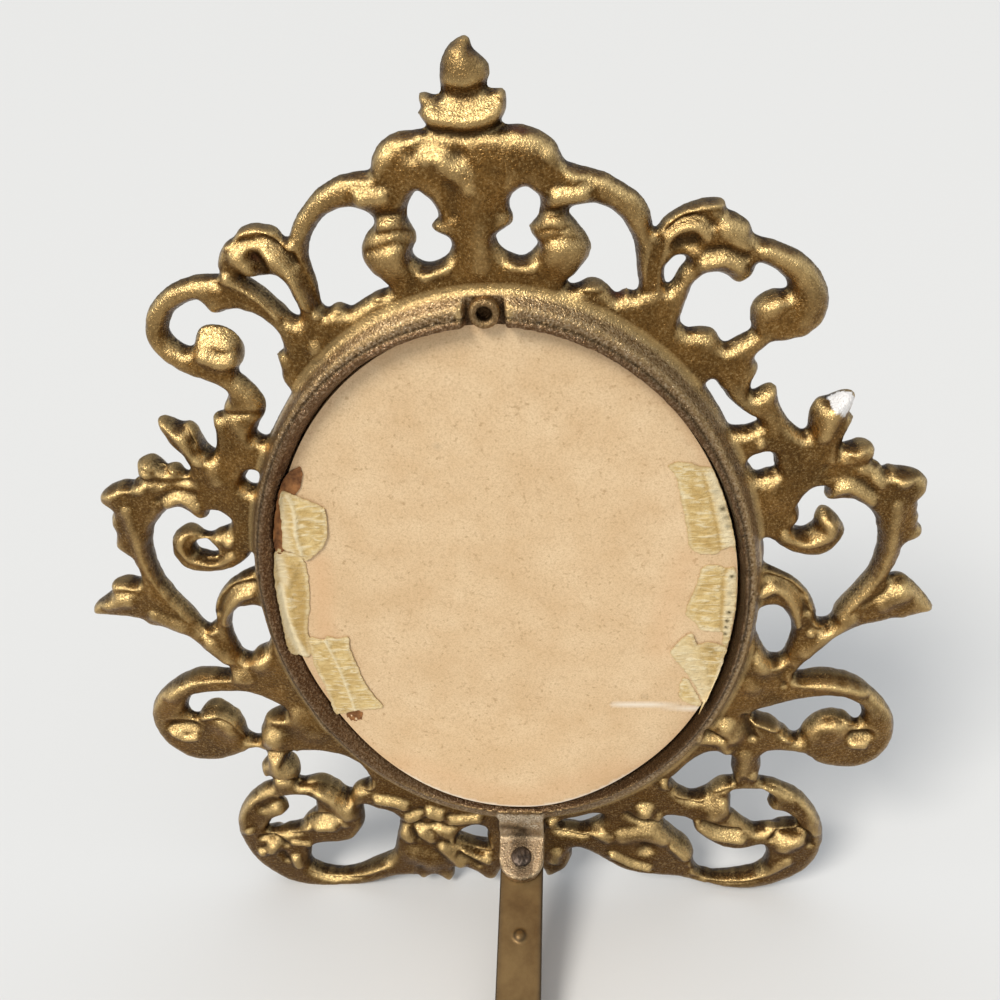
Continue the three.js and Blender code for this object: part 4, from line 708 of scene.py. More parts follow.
    (1.6, 3, [(-43.9, 44.6)]),
    (1.9, 3, [(-61.6, 26), (-57.6, 26.2)]),
    (1.2, 2.4, [(-70, 25), (-65.6, 25.4)]),
    (1, 2.4, [(-53.6, 27)]),
    (-1.4, 1.6, [(-64.4, 30), (-59, 30.6), (-54.6, 29.6)]),
    (-1.4, 3.4, [(-77.6, 33.6), (-74, 36)]),
    (0.9, 3, [(-80, 39), (-84.6, 31.6), (-85, 24)]),
    (1.7, 2.6, [(-77.4, 16.4), (-78.6, 14.6)]),
    (1.5, 2.4, [(-81.6, 13.4)]),
    (1.7, 2.6, [(-71.4, 10.4), (-71, 7.8)]),
    (1.2, 2, [(-83.4, 23.4)]),
    (-1.1, 1.8, [(-80.6, 20), (-76.6, 20.4), (-73.6, 17)]),
    (-1.1, 1.8, [(-75.4, 12.6), (-74.6, 9.6)]),
    (0.9, 1.4, [(-71, 18), (-66, 17.4)]),
    (1, 2.6, [(-66, 5.6), (-60, 3.8), (-50.5, 4.4), (-45, 7)]),
    # Left leaf between foot and lug
    (1.6, 2.8, [(-41.6, 38), (-37, 37), (-34.4, 35.6)]),
    (1.3, 2.8, [(-33.4, 30), (-30.4, 31.4)]),
    (1.8, 3.4, [(-27, 32.8), (-23.6, 31.4)]),
    (1.3, 2.8, [(-21, 29), (-13, 30)]),
    (-0.7, 1.8, [(-29, 34), (-28.8, 30.4), (-31, 27.6)]),
    (-0.7, 1.8, [(-21.8, 32), (-22.8, 29), (-26, 27.4)]),
    (-0.8, 2, [(-38, 27.6), (-33, 26.8), (-27, 27), (-20, 26)]),
    (1.2, 2.8, [(-36.6, 23.6), (-34.4, 20.6)]),
    (1.5, 3, [(-30.4, 23.6), (-27.6, 21)]),
    (1, 3.2, [(-24.6, 23.6), (-21, 21.6)]),
    (-0.7, 1.6, [(-33, 24.8), (-31.6, 20.6)]),
    (1.3, 6, [(-33, 12.6), (-29, 10)]),
    (1.7, 3, [(-24.4, 17), (-19.8, 9.6)]),
    (1.4, 2, [(-20.5, 20.6), (-15.4, 19), (-10.4, 17.4)]),
    (1.2, 1.8, [(-17.6, 15.4), (-14, 12.6), (-11, 10.4)]),
    (-1, 1.6, [(-22.4, 18.6), (-18, 17.4), (-12.6, 14.6)]),
    (-0.8, 1.6, [(-19.4, 13.6), (-16, 10.6), (-14, 8)]),
    (-0.6, 1.8, [(-33.6, 3.6), (-32.4, 7.4)]),
    # Right foot with its crescent and hooded lump
    (1.8, 2.8, [(42.2, 45.8)]),
    (1.7, 3, [(46.8, 42.4), (51.4, 41)]),
    (1.2, 3, [(56, 45), (60.4, 47.6)]),
    (1.2, 2.2, [(66, 49.4), (72, 48), (78, 44.4)]),
    (0.9, 3, [(77.3, 45), (83, 36), (85.4, 26)]),
    (1.9, 4.6, [(56.4, 33.4), (59, 36.4)]),
    (1.5, 2.2, [(51.2, 29), (56.4, 23.8), (64.6, 21.8)]),
    (-1.3, 1.6, [(53.4, 29.2), (58, 26.8), (63.4, 25.8)]),
    (1.7, 2.8, [(66, 31), (70, 29.6), (78.4, 29.4)]),
    (2, 4.4, [(77.4, 19.6), (80, 22)]),
    (-1.1, 1.7, [(73.6, 22), (75.6, 25.8), (79.4, 27.2), (83.4, 25), (84.8, 20)]),
    (1, 2.4, [(52, 7), (58, 4.6), (66, 4.4), (73, 7), (79, 12)]),
    # Right leaf between foot and lug, with its bead
    (1.9, 2.8, [(9.4, 28.6), (14, 27.6), (18.4, 26.2)]),
    (1, 2.6, [(22, 24.4), (25.6, 21.4)]),
    (2.4, 4.2, [(36.4, 34.4)]),
    (1.2, 2.4, [(40.4, 31.8)]),
    (-1.1, 1.6, [(31.2, 32.6), (34, 30), (38.4, 29), (42, 29.6)]),
    (1.6, 4.4, [(30, 22.6), (36, 24), (42, 22)]),
    (-1.9, 4.4, [(37, 17.2)]),
    (1.8, 3, [(45.6, 18.6), (48.6, 14.4)]),
    (1.5, 2, [(27, 14.4), (31.8, 10.8), (37.6, 8.4)]),
    (-0.8, 0.9, [(28, 12), (33, 8.6), (38.6, 6.8)]),
    (1, 2.6, [(51, 10.6)]),
    (1.4, 3, [(9.2, 11.6), (10.2, 14.6)]),
]


def uneven(places, reach, seed):
    """Slow hand-made unevenness between -1 and 1 at places of the plane."""
    u, v = places.T / reach
    waves = np.sin(u * 1.7 + seed) * np.cos(v * 1.3 - seed) + 0.6 * np.sin(u * 3.1 - v * 2.3 + 2 * seed)
    return (waves + 0.4 * np.sin(u * 5.3 + v * 6.1 - seed)) / 2


LUG_BESIDE = 0.5
LUG_LOW, LUG_HIGH = 18, 44
LUG_BACK = 5.5


def is_lug(points):
    """Whether points are on the lug or the tongue."""
    beside = abs(points[:, 0] - HINGE_POINT[0]) < LUG_HALF_WIDTH + LUG_BESIDE
    return beside & (points[:, 1] > LUG_LOW) & (points[:, 1] < LUG_HIGH) & (points[:, 2] > LUG_BACK)


# The skins become one, then the edges are rounded and the carving and the cast unevenness laid on.
# The ring and the lug keep their edges. The front has the same forms as the back, softer and wider.
CASTING_VOXEL = 0.55
FIRM_WIDTH, LOOSE_WIDTH = 1.8, 4.2
FIRM_SPREAD = 3
ROUND_RUNS = 4
CARVED_FROM, CARVED_FULL = 0.05, 0.5
FRONT_SHARE = 0.7
FRONT_SPREAD = 1.6
FRONT_LEVEL = 4
CAST_WAVES, CAST_WAVE_REACH, CAST_SEED = 0.06, 1.9, 4
LUG_PITS, LUG_PIT_REACH, LUG_SEED = 0.16, 0.9, 3
casting = even_faced("gilt_casting", work, CASTING_VOXEL)
points = points_of(casting)
edges = edges_of(casting)
firm = np.maximum(1 - ease(FIRM_WIDTH, LOOSE_WIDTH, outside_recess(points[:, :2])), is_lug(points))
firm = np.clip(spread(firm[:, None], edges, FIRM_SPREAD)[:, 0], 0, 1)
points = rounded(points, edges, ROUND_RUNS, 1 - firm)
points = rounded(points, edges, 1, firm)
move_points(casting, points)
facing = normals_of(casting)[:, 2]
marks = strokes_at(as_seen(points), CARVING)
broad = [(FRONT_SHARE * height, FRONT_SPREAD * half_width, line) for height, half_width, line in CARVING]
opposite = np.column_stack([points[:, :2], np.full(len(points), FRONT_LEVEL)])
marks = np.where(facing < 0, strokes_at(as_seen(opposite), broad), marks)
points[:, 2] += marks * ease(CARVED_FROM, CARVED_FULL, abs(facing)) * np.sign(facing) * (1 - firm)
points = rounded(points, edges, 1)
move_points(casting, points)
rough = CAST_WAVES * uneven(points[:, :2], CAST_WAVE_REACH, CAST_SEED)
rough += LUG_PITS * uneven(points[:, :2], LUG_PIT_REACH, LUG_SEED) * is_lug(points)
points += normals_of(casting) * rough[:, None]

# The channel through the ring's band at the top, and in it the tapped boss that has lost its screw
BOSS_PLACE = np.array([1.2, 192.3])
BOSS_RADIUS = 3.3
BOSS_BACK = 7
BOSS_HOLE = 1.4
BOSS_TURNS = 40
CHANNEL_HALF = 4.6
CHANNEL_SIDE = 0.7
CHANNEL_LOW, CHANNEL_HIGH = 189.6, 214
CHANNEL_RUNOUT = 8
CHANNEL_FLOOR = 4.6
CHANNEL_RISE, CHANNEL_RISE_FROM = 0.22, 3
beside = abs(points[:, 0] - BOSS_PLACE[0])
cut = 1 - ease(CHANNEL_HALF - CHANNEL_SIDE, CHANNEL_HALF, beside)
cut *= ease(CHANNEL_LOW - CHANNEL_SIDE, CHANNEL_LOW, points[:, 1])
cut *= 1 - ease(CHANNEL_HIGH - CHANNEL_RUNOUT, CHANNEL_HIGH, points[:, 1])
bed = CHANNEL_FLOOR + CHANNEL_RISE * np.maximum(points[:, 1] - BOSS_PLACE[1] - CHANNEL_RISE_FROM, 0)
points[:, 2] -= cut * np.maximum(points[:, 2] - bed, 0)
standing = stand_up(points)
standing[:, 2] = np.maximum(standing[:, 2], 0)
move_points(casting, lay_down(standing))
cup = [
    (0.01, 0), (BOSS_RADIUS, 0), (BOSS_RADIUS, BOSS_BACK - 1), (BOSS_RADIUS - 0.25, BOSS_BACK - 0.3),
    (BOSS_RADIUS - 0.8, BOSS_BACK), (BOSS_HOLE + 0.6, BOSS_BACK - 0.1), (BOSS_HOLE + 0.1, BOSS_BACK - 0.6),
    (BOSS_HOLE, BOSS_BACK - 1.2), (BOSS_HOLE, 4), (0.01, 3.6),
]
spin = np.linspace(0, 2 * math.pi, BOSS_TURNS, endpoint=False)
rays = np.column_stack([np.cos(spin), np.sin(spin)])
work = bmesh.new()
work.from_mesh(casting.data)
add_sweep(work, [[(*(BOSS_PLACE + radius * ray), n) for radius, n in cup] for ray in rays])
for face in work.faces:
    face.smooth = True
work.to_mesh(casting.data)
work.free()

# Where the gilt has worn or gathered dirt, and where shade and highlights are painted into its colour:
# painted shade in the hollows, on the recess wall, in the groove and the screw hole, on the side walls
# and on the left band, and painted highlights on proud parts and the band's outer edge. Each pair is
# where a mark begins and where it is full.
HOLLOW_REACH = 14
HOLLOW_DEPTH = 0.5
BOSS_EDGE = 0.05
BOSS_ROOT = 3
BOSS_CRUST = 0.75
HOLE_EDGE = 0.2
RECESS_EDGE = 1.3
RECESS_TOP = (7.1, 7.8)
SHADE_LEAST = 0.2
SHADE_SIDE = (-0.2, 0.5)
FRONT_TURN = (-0.97, -0.8)
BACK_TURN = (0.15, 0.7)
SIDE_TOP = (0.8, 3)
BAND_START, BAND_END, BAND_RISE = (-1, 0), (0.7, 0.95), (1.5, 3.5)
CREST_START, CREST_END, CREST_RISE = (0.6, 0.85), (0.95, 1.2), (2, 3.5)
LIP_END, LIP_RISE, LIP_TOP = (-0.3, 0.4), (-0.6, 0.6), (7, 7.6)
LIP_RUBBED, LIP_BOTTOM = 0.5, (0.75, 0.95)
GROOVE_START, GROOVE_END, GROOVE_RISE = (-0.1, 0.2), (0.5, 0.9), (2, 4)
GROOVE_FADED, GROOVE_BOTTOM = 0.6, (0.6, 0.9)
LEFT_BAND_SHADE, LEFT_SIDE = 0.3, (0.4, 0.9)
points = points_of(casting)
edges = edges_of(casting)
normals = normals_of(casting)
facing = normals[:, 2]
places, back = points[:, :2], points[:, 2]
across, up = ((places - RING_CENTRE) / RECESS_HALF).T
step_out = outside_recess(places)
past_lip = step_out - LIP_WIDTH - worn_wider(across)
along = (step_out - LIP_WIDTH) / (BAND_WIDTH_SIDES + (BAND_WIDTH_ENDS - BAND_WIDTH_SIDES) * abs(up))
sunk = ((spread(points, edges, HOLLOW_REACH) - points) * normals).sum(1) / HOLLOW_DEPTH
boss_reach = np.hypot(*(places - BOSS_PLACE).T)
on_boss = (boss_reach < BOSS_RADIUS + BOSS_EDGE) & (back > BOSS_ROOT)
in_hole = on_boss & (boss_reach < BOSS_HOLE + HOLE_EDGE)
shadow = (step_out < RECESS_EDGE) * (1 - ease(*RECESS_TOP, back))
shadow *= SHADE_LEAST + (1 - SHADE_LEAST) * ease(*SHADE_SIDE, across)
# The side walls of the ornament are painted dark: painted shade, where the gilt is also thinner.
wall = ease(*FRONT_TURN, facing) * (1 - ease(*BACK_TURN, facing))
set_mask(casting, "side", wall * (1 - ease(*SIDE_TOP, back)))
on_band = ease(*BAND_START, past_lip) * (1 - ease(*BAND_END, along))
set_mask(casting, "band", on_band * ease(*BAND_RISE, back) * ~on_boss)
# Painted highlights on proud, rounded parts and along the band's outer edge.
crest = ease(*CREST_START, along) * (1 - ease(*CREST_END, along)) * ease(*CREST_RISE, back)
set_mask(casting, "proud", np.maximum(-sunk, crest))
groove = ease(*GROOVE_START, past_lip) * (1 - ease(*GROOVE_END, past_lip)) * ease(*GROOVE_RISE, back)
groove *= 1 - GROOVE_FADED * ease(*GROOVE_BOTTOM, -up)
# Painted shade in the hollows (where dirt also sits), on the recess wall, strongest on the right, in the
# groove between lip and band, fainter at the bottom, and in the screw hole.
set_mask(casting, "dirt_and_shade", np.where(on_boss, in_hole, np.maximum(np.maximum(sunk, shadow), groove)))
on_lip = (1 - ease(*LIP_END, past_lip)) * ease(*LIP_RISE, back)
on_lip *= 1 - LIP_RUBBED * ease(*LIP_BOTTOM, -up) * ease(*LIP_TOP, back)
# The band on the left faces away from the light; it gets painted shade in the lip's crust colour.
shaded_left_band = LEFT_BAND_SHADE * ease(*LEFT_SIDE, -across) * on_band * ease(*GROOVE_RISE, back)
set_mask(casting, "lip", np.where(on_boss, BOSS_CRUST, np.maximum(on_lip, shaded_left_band)))

# Painted highlights on tops that face the light, left off the finial; painted shade and brown
# reflection towards the feet; the broken leaf tip, rust, and the scuffed lug
LIT_START, LIT_END = (0.1, 0.6), (0.66, 0.9)
FINIAL_NO_HIGHLIGHT = [(1, 7.5, [(0.2, 242), (0.2, 238)])]
BROKEN_TIP = np.array([(73.2, 168), (75, 169.3), (78, 169.3), (79, 167.5), (78.2, 165.2), (77.3, 163),
                       (75.5, 164), (74.2, 166)])
BROKEN_FACING = -0.2
RUST_SPOTS = [
    (1, 2, [(27.6, 193.4), (29, 192.8)]),
    (1, 1.5, [(9, 226.6), (10.6, 226)]),
    (0.8, 1.6, [(-46, 203.6)]),
]
FOOT_LOW, FOOT_HIGH = 40, 84
LUG_SIDES, LUG_END = (6.4, 6.9), (40.4, 41)
LUG_SCUFF = [
    (1.2, 3, [(-4.4, 39.6), (0.7, 39.2), (6, 39.8)]),
    (1, 2, [(2.6, 36.4), (5.4, 35.4)]),
    (0.8, 1.8, [(-3.4, 33)]),
    (0.7, 1.8, [(2, 23.4), (4.6, 25)]),
]
LUG_DIRT = [
    (1, 4.6, [(0.2, 30.4), (1.2, 29)]),
    (0.9, 1.6, [(-5, 35.4), (-1, 35), (1.6, 34)]),
    (0.7, 2, [(-3, 23), (1, 21.6)]),
]
upright = (normals @ PLANE_AXES)[:, 2]
seen = as_seen(points)
lit = ease(*LIT_START, upright) * (1 - ease(*LIT_END, upright))
set_mask(casting, "painted_highlight", lit * (1 - strokes_at(seen, FINIAL_NO_HIGHLIGHT)))
set_mask(casting, "bare", is_inside(seen, [BROKEN_TIP]) & (facing > BROKEN_FACING))
set_mask(casting, "rust", strokes_at(seen, RUST_SPOTS))
# Darker and browner towards the bottom: painted shade and the brown reflection of a table.
set_mask(casting, "foot", 1 - ease(FOOT_LOW, FOOT_HIGH, points[:, 1]))
on_lug = is_lug(points) * (1 - ease(*LUG_SIDES, abs(points[:, 0] - HINGE_POINT[0])))
on_lug *= 1 - ease(*LUG_END, points[:, 1])
set_mask(casting, "lug", on_lug)
set_mask(casting, "scuff", strokes_at(places, LUG_SCUFF) * on_lug)
set_mask(casting, "lug_dirt", strokes_at(places, LUG_DIRT) * on_lug)


def join(tree, node, inputs):
    """A node's inputs set to values, or joined to other nodes' outputs."""
    for key, value in inputs.items():
        socket = node.inputs[key]
        if isinstance(value, bpy.types.NodeSocket):
            tree.links.new(value, socket)
        else:
            socket.default_value = (*value, 1) if socket.type == "RGBA" else value


def wire(tree, kind, inputs, **settings):
    """A new node with its settings and its inputs."""
    made = tree.nodes.new("ShaderNode" + kind)
    for name, value in settings.items():
        setattr(made, name, value)
    join(tree, made, inputs)
    return made


MIX_AMOUNT, MIX_FIRST, MIX_SECOND, MIX_RESULT = 0, 6, 7, 2


def coats(tree, colour, layers):
    """Colours laid over a first one in turn, each given after how much of it shows."""
    for amount, over in layers:
        sockets = {MIX_AMOUNT: amount, MIX_FIRST: colour, MIX_SECOND: over}
        colour = wire(tree, "Mix", sockets, data_type="RGBA").outputs[MIX_RESULT]
    return colour


def sum_of(tree, how, first, second):
    return wire(tree, "Math", {0: first, 1: second}, operation=how).outputs[0]


def times(tree, first, second):
    return sum_of(tree, "MULTIPLY", first, second)


def rise(tree, value, low, high, to_low=0.0, to_high=1.0):
    """A value between low and high as a share between two others."""
    spans = {"Value": value, "From Min": low, "From Max": high, "To Min": to_low, "To Max": to_high}
    return wire(tree, "MapRange", spans).outputs[0]


def mask(tree, name):
    return wire(tree, "Attribute", {}, attribute_name=name).outputs["Fac"]


def noise(tree, place, scale, **more):
    return wire(tree, "TexNoise", {"Vector": place, "Scale": scale, **more}).outputs[0]


def bump(tree, height, strength, distance):
    return wire(tree, "Bump", {"Height": height, "Strength": strength, "Distance": distance}).outputs[0]


def effect(name, inputs, outputs):
    """An empty node group with named inputs, each with its value, and named outputs."""
    group = bpy.data.node_groups.new(name, "ShaderNodeTree")
    for label, value in inputs.items():
        socket = group.interface.new_socket(name=label, in_out="INPUT", socket_type="NodeSocketFloat")
        socket.default_value = value
    for label in outputs:
        group.interface.new_socket(name=label, in_out="OUTPUT", socket_type="NodeSocketFloat")
    return group, group.nodes.new("NodeGroupInput").outputs, group.nodes.new("NodeGroupOutput")


def use(tree, group, **inputs):
    """A node group placed in a material with its own values; returns its outputs."""
    return wire(tree, "Group", inputs, node_tree=group).outputs


def object_place(tree):
    return wire(tree, "TexCoord", {}).outputs["Object"]


def finish_for(name):
    """A new material; returns it, its node tree and its shader."""
    material = bpy.data.materials.new(name)
    material.use_nodes = True
    tree = material.node_tree
    return material, tree, tree.nodes["Principled BSDF"]


def wear_finish(thing, material):
    thing.data.materials.clear()
    thing.data.materials.append(material)


def fit(thing, material, body, node):
    """A finished piece put in the place of its plain solid."""
    wear_finish(thing, material)
    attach(thing, body)
    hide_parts(node)


# Metal grain: sand-cast bumps, bright flecks and slow blotches, used on gilt, strap and rivet.
# Grain and Blotch are their sizes in millimetres.
FLECK_SHARE = 0.7
PIT_SHARE = 0.35
SPECK_SPAN = (0.36, 0.66)
metal_grain, given, put = effect("metal_grain", {"Grain": 0.5, "Blotch": 7.0}, ["Height", "Fleck", "Blotch"])
place = object_place(metal_grain)
fine = sum_of(metal_grain, "DIVIDE", MM_PER_M, given["Grain"])
slow = sum_of(metal_grain, "DIVIDE", MM_PER_M, given["Blotch"])
grains = noise(metal_grain, place, fine, Detail=2.0, Roughness=0.6)
pits = wire(metal_grain, "TexVoronoi", {"Vector": place, "Scale": fine}, feature="SMOOTH_F1").outputs[0]
flecks = noise(metal_grain, place, times(metal_grain, fine, FLECK_SHARE), Detail=3.0, Roughness=0.75)
blotches = noise(metal_grain, place, slow, Detail=4.0, Roughness=0.6)
join(metal_grain, put, {
    "Height": sum_of(metal_grain, "ADD", grains, times(metal_grain, pits, PIT_SHARE)),
    "Fleck": rise(metal_grain, flecks, *SPECK_SPAN),
    "Blotch": rise(metal_grain, blotches, *SPECK_SPAN),
})

gilt, tree, shader = finish_for("gilt")
GILT_DEEP = (0.05, 0.024, 0.006)
GILT_MID = (0.225, 0.113, 0.028)
GILT_BRIGHT = (0.95, 0.67, 0.29)
GILT_DIRT_AND_SHADE = (0.04, 0.022, 0.009)
FOOT_SHADE_BROWN = (0.1, 0.044, 0.007)
BAND_BROWN = (0.3, 0.195, 0.1)
BAND_PALE = (0.62, 0.5, 0.34)
LIP_BROWN = (0.105, 0.052, 0.024)
LIP_PALE = (0.38, 0.25, 0.15)
SIDE_SHADE = (0.028, 0.015, 0.007)
BARE_METAL = (0.9, 0.88, 0.86)
RUST_RED = (0.09, 0.025, 0.01)
LUG_GREY = (0.5, 0.375, 0.24)
SCUFF_PALE = (0.86, 0.76, 0.6)
grain = use(tree, metal_grain, Grain=0.42, Blotch=9.0)
fleck = grain["Fleck"]
worn = coats(tree, BAND_BROWN, [
    (rise(tree, fleck, 0.5, 1.0, 0.0, 0.7), BAND_PALE),
    (rise(tree, fleck, 0.4, 0.0, 0.0, 0.8), GILT_DEEP),
])
crust_and_shade = coats(tree, LIP_BROWN, [(rise(tree, fleck, 0.4, 0.9, 0.0, 0.75), LIP_PALE)])
colour = coats(tree, GILT_MID, [
    (times(tree, grain["Blotch"], 0.6), GILT_DEEP),
    # Painted shade and brown reflection, stronger towards the bottom
    (times(tree, mask(tree, "foot"), 0.75), FOOT_SHADE_BROWN),
    (rise(tree, fleck, 0.55, 1.0, 0.0, 0.2), GILT_BRIGHT),
    (rise(tree, fleck, 0.4, 0.05, 0.0, 0.5), GILT_DEEP),
    # Painted highlight on tops that face the light
    (times(tree, mask(tree, "painted_highlight"), rise(tree, fleck, 0.1, 0.7, 0.45, 1.0)), GILT_BRIGHT),
    # Painted shade on the side walls
    (times(tree, mask(tree, "side"), rise(tree, fleck, 0.2, 0.9, 1.0, 0.6)), SIDE_SHADE),
    (times(tree, mask(tree, "band"), 0.85), worn),
    # Painted highlight on proud parts and along the band's outer edge
    (rise(tree, mask(tree, "proud"), 0.2, 0.9, 0.0, 0.35), GILT_BRIGHT),
    # The crust on the lip and boss, and painted shade on the left band
    (times(tree, mask(tree, "lip"), 0.92), crust_and_shade),
    # Painted shade, with dirt in the hollows: hollows, recess wall, groove and screw hole
    (rise(tree, mask(tree, "dirt_and_shade"), 0.15, 1.0, 0.0, 0.8), GILT_DIRT_AND_SHADE),
    (times(tree, mask(tree, "rust"), 0.9), RUST_RED),
    (times(tree, mask(tree, "lug"), 0.85), LUG_GREY),
    (times(tree, mask(tree, "scuff"), rise(tree, fleck, 0.2, 0.55)), SCUFF_PALE),
    (times(tree, mask(tree, "lug_dirt"), 0.8), GILT_DIRT_AND_SHADE),
    (mask(tree, "bare"), BARE_METAL),
])
dull = sum_of(tree, "MAXIMUM", rise(tree, fleck, 0.0, 1.0, 0.42, 0.24), times(tree, mask(tree, "bare"), 0.75))
join(tree, shader, {
    "Base Color": colour, "Metallic": 0.93, "Roughness": dull,
    "Normal": bump(tree, grain["Height"], 0.7, 0.0004),
})
fit(casting, gilt, "frame", "cast_frame")

# Glass
# A thin oval of clear old glass, laid on the shelf of the recess from behind.
clear_glass, tree, shader = finish_for("clear_glass")
GLASS_TINT = (0.95, 0.98, 0.96)
join(tree, shader, {"Base Color": GLASS_TINT, "Roughness": 0.02, "Transmission Weight": 1})
wear_finish(frame["nodes"]["glass_pane"], clear_glass)

# Print
# The paper behind the glass, left as a plain aged print without a picture.

# Paper fibre: fine pulp, specks, short strands and slow clouds, used on print, card, tapes and scraps.
# Fibre and Cloud are their sizes in millimetres.
SPECK_SHARE = 0.4
STRAND_SHARE = 0.09
STRAND_BREAK_SHARE = 0.13
STRAND_HALF = 0.02
paper_fibre, given, put = effect(
    "paper_fibre", {"Fibre": 0.5, "Cloud": 20.0}, ["Height", "Speck", "Strand", "Cloud"])
place = object_place(paper_fibre)
fine = sum_of(paper_fibre, "DIVIDE", MM_PER_M, given["Fibre"])
slow = sum_of(paper_fibre, "DIVIDE", MM_PER_M, given["Cloud"])
specks = noise(paper_fibre, place, times(paper_fibre, fine, SPECK_SHARE), Detail=2.0, Roughness=0.5)
strands = noise(paper_fibre, place, times(paper_fibre, fine, STRAND_SHARE), Detail=1.0, Distortion=1.2)
ridge = sum_of(paper_fibre, "ABSOLUTE", sum_of(paper_fibre, "SUBTRACT", strands, 0.5), 0.0)
breaks = noise(paper_fibre, place, times(paper_fibre, fine, STRAND_BREAK_SHARE), Detail=0.0)
clouds = noise(paper_fibre, place, slow, Detail=5.0, Roughness=0.6)
join(paper_fibre, put, {
    "Height": noise(paper_fibre, place, fine, Detail=4.0, Roughness=0.7, Distortion=0.6),
    "Speck": rise(paper_fibre, specks, 0.62, 0.74),
    "Strand": times(paper_fibre, rise(paper_fibre, ridge, 0.0, STRAND_HALF, 1.0, 0.0),
                    rise(paper_fibre, breaks, 0.52, 0.62)),
    "Cloud": rise(paper_fibre, clouds, 0.35, 0.68),
})

aged_print, tree, shader = finish_for("aged_print")
PRINT_CREAM = (0.62, 0.5, 0.34)
PRINT_BROWN = (0.4, 0.28, 0.16)
fibre = use(tree, paper_fibre, Fibre=0.4, Cloud=24.0)
colour = coats(tree, PRINT_CREAM, [(times(tree, fibre["Cloud"], 0.45), PRINT_BROWN)])
join(tree, shader, {"Base Color": colour, "Roughness": 0.55})
wear_finish(frame["nodes"]["picture_print"], aged_print)

# Card
# A peach-tan oval of pulp card, cut by hand, that closes the back. It is speckled, a little stained
# beside the tapes, and scratched white near its lower right edge. Its lower cut edge has a painted
# highlight.
CARD_BACK = 4.1
CARD_FRONT = 2.3
CARD_GAP = 0.5
CARD_STEP = 1.6
CARD_WAVE, CARD_WAVE_REACH, CARD_SEED = 0.05, 30, 1
CARD_WARP, WARP_LOW, WARP_HIGH = 2.4, 42, 84
WARP_FADE, WARP_FADE_SIDE = 0.85, (4, 40)
SHARP_EDGE = math.radians(50)


def add_slab(work, places, faces, back, front):
    """A closed sheet between two heights given at each place."""
    count = len(places)
    skin = np.vstack([np.column_stack([places, back]), np.column_stack([places, front])])
    once = {}
    for a, b in sides_of(faces).tolist():
        side = (min(a, b), max(a, b))
        once[side] = None if side in once else (a, b)
    rim = [(b, a, a + count, b + count) for a, b in filter(None, once.values())]
    add_skin(work, skin, [*faces.tolist(), *(faces[:, ::-1] + count).tolist(), *rim])


def made_of(name, work, smooth=True):
    """A mesh that is done, as an object with its sharp edges marked."""
    mesh = bpy.data.meshes.new(name)
    bmesh.ops.recalc_face_normals(work, faces=work.faces)
    for edge in work.edges:
        edge.smooth = edge.calc_face_angle(0) < SHARP_EDGE
    work.to_mesh(mesh)
    work.free()
    for face in mesh.polygons:
        face.use_smooth = smooth
    return new_object(name, mesh)


card_edge = RING_CENTRE + round_oval * (RECESS_HALF - CARD_GAP)
places, faces, _ = fill([card_edge], CARD_STEP)
warp = CARD_WAVE * uneven(places, CARD_WAVE_REACH, CARD_SEED)
low_down = 1 - ease(WARP_LOW, WARP_HIGH, places[:, 1])
warp += CARD_WARP * low_down * (1 - WARP_FADE * ease(*WARP_FADE_SIDE, places[:, 0]))
work = bmesh.new()
add_slab(work, places, faces, CARD_BACK + warp, CARD_FRONT + warp)
card = made_of("peach_card", work, False)
CARD_MARKS = {
    "scratch": [(1.2, 1.1, [(27.6, 81.5), (39.3, 80.5), (49.7, 79.8), (53.9, 79.4)])],
    "stain": [
        (0.9, 5, [(-44, 128), (-45, 116), (-46, 106)]),
        (0.5, 6, [(44, 128), (41, 116), (39, 100)]),
        (0.6, 7, [(-30, 60), (0, 47), (30, 58)]),
    ],
    "dots": [
        (1, 0.7, [(34.9, 83.7)]),
        (0.8, 0.6, [(-12, 160)]),
        (0.7, 0.5, [(20, 140)]),
        (0.6, 0.5, [(-25, 95)]),
    ],
}
CARD_EDGE_WIDTH = 2.5
CUT_WIDTH = 0.2
CUT_LOW, CUT_HIGH = 52, 66
spots = points_of(card)[:, :2]
for name, strokes in CARD_MARKS.items():
    set_mask(card, name, strokes_at(spots, strokes))
within = -CARD_GAP - outside_recess(spots)
set_mask(card, "edge", 1 - ease(0, CARD_EDGE_WIDTH, within))
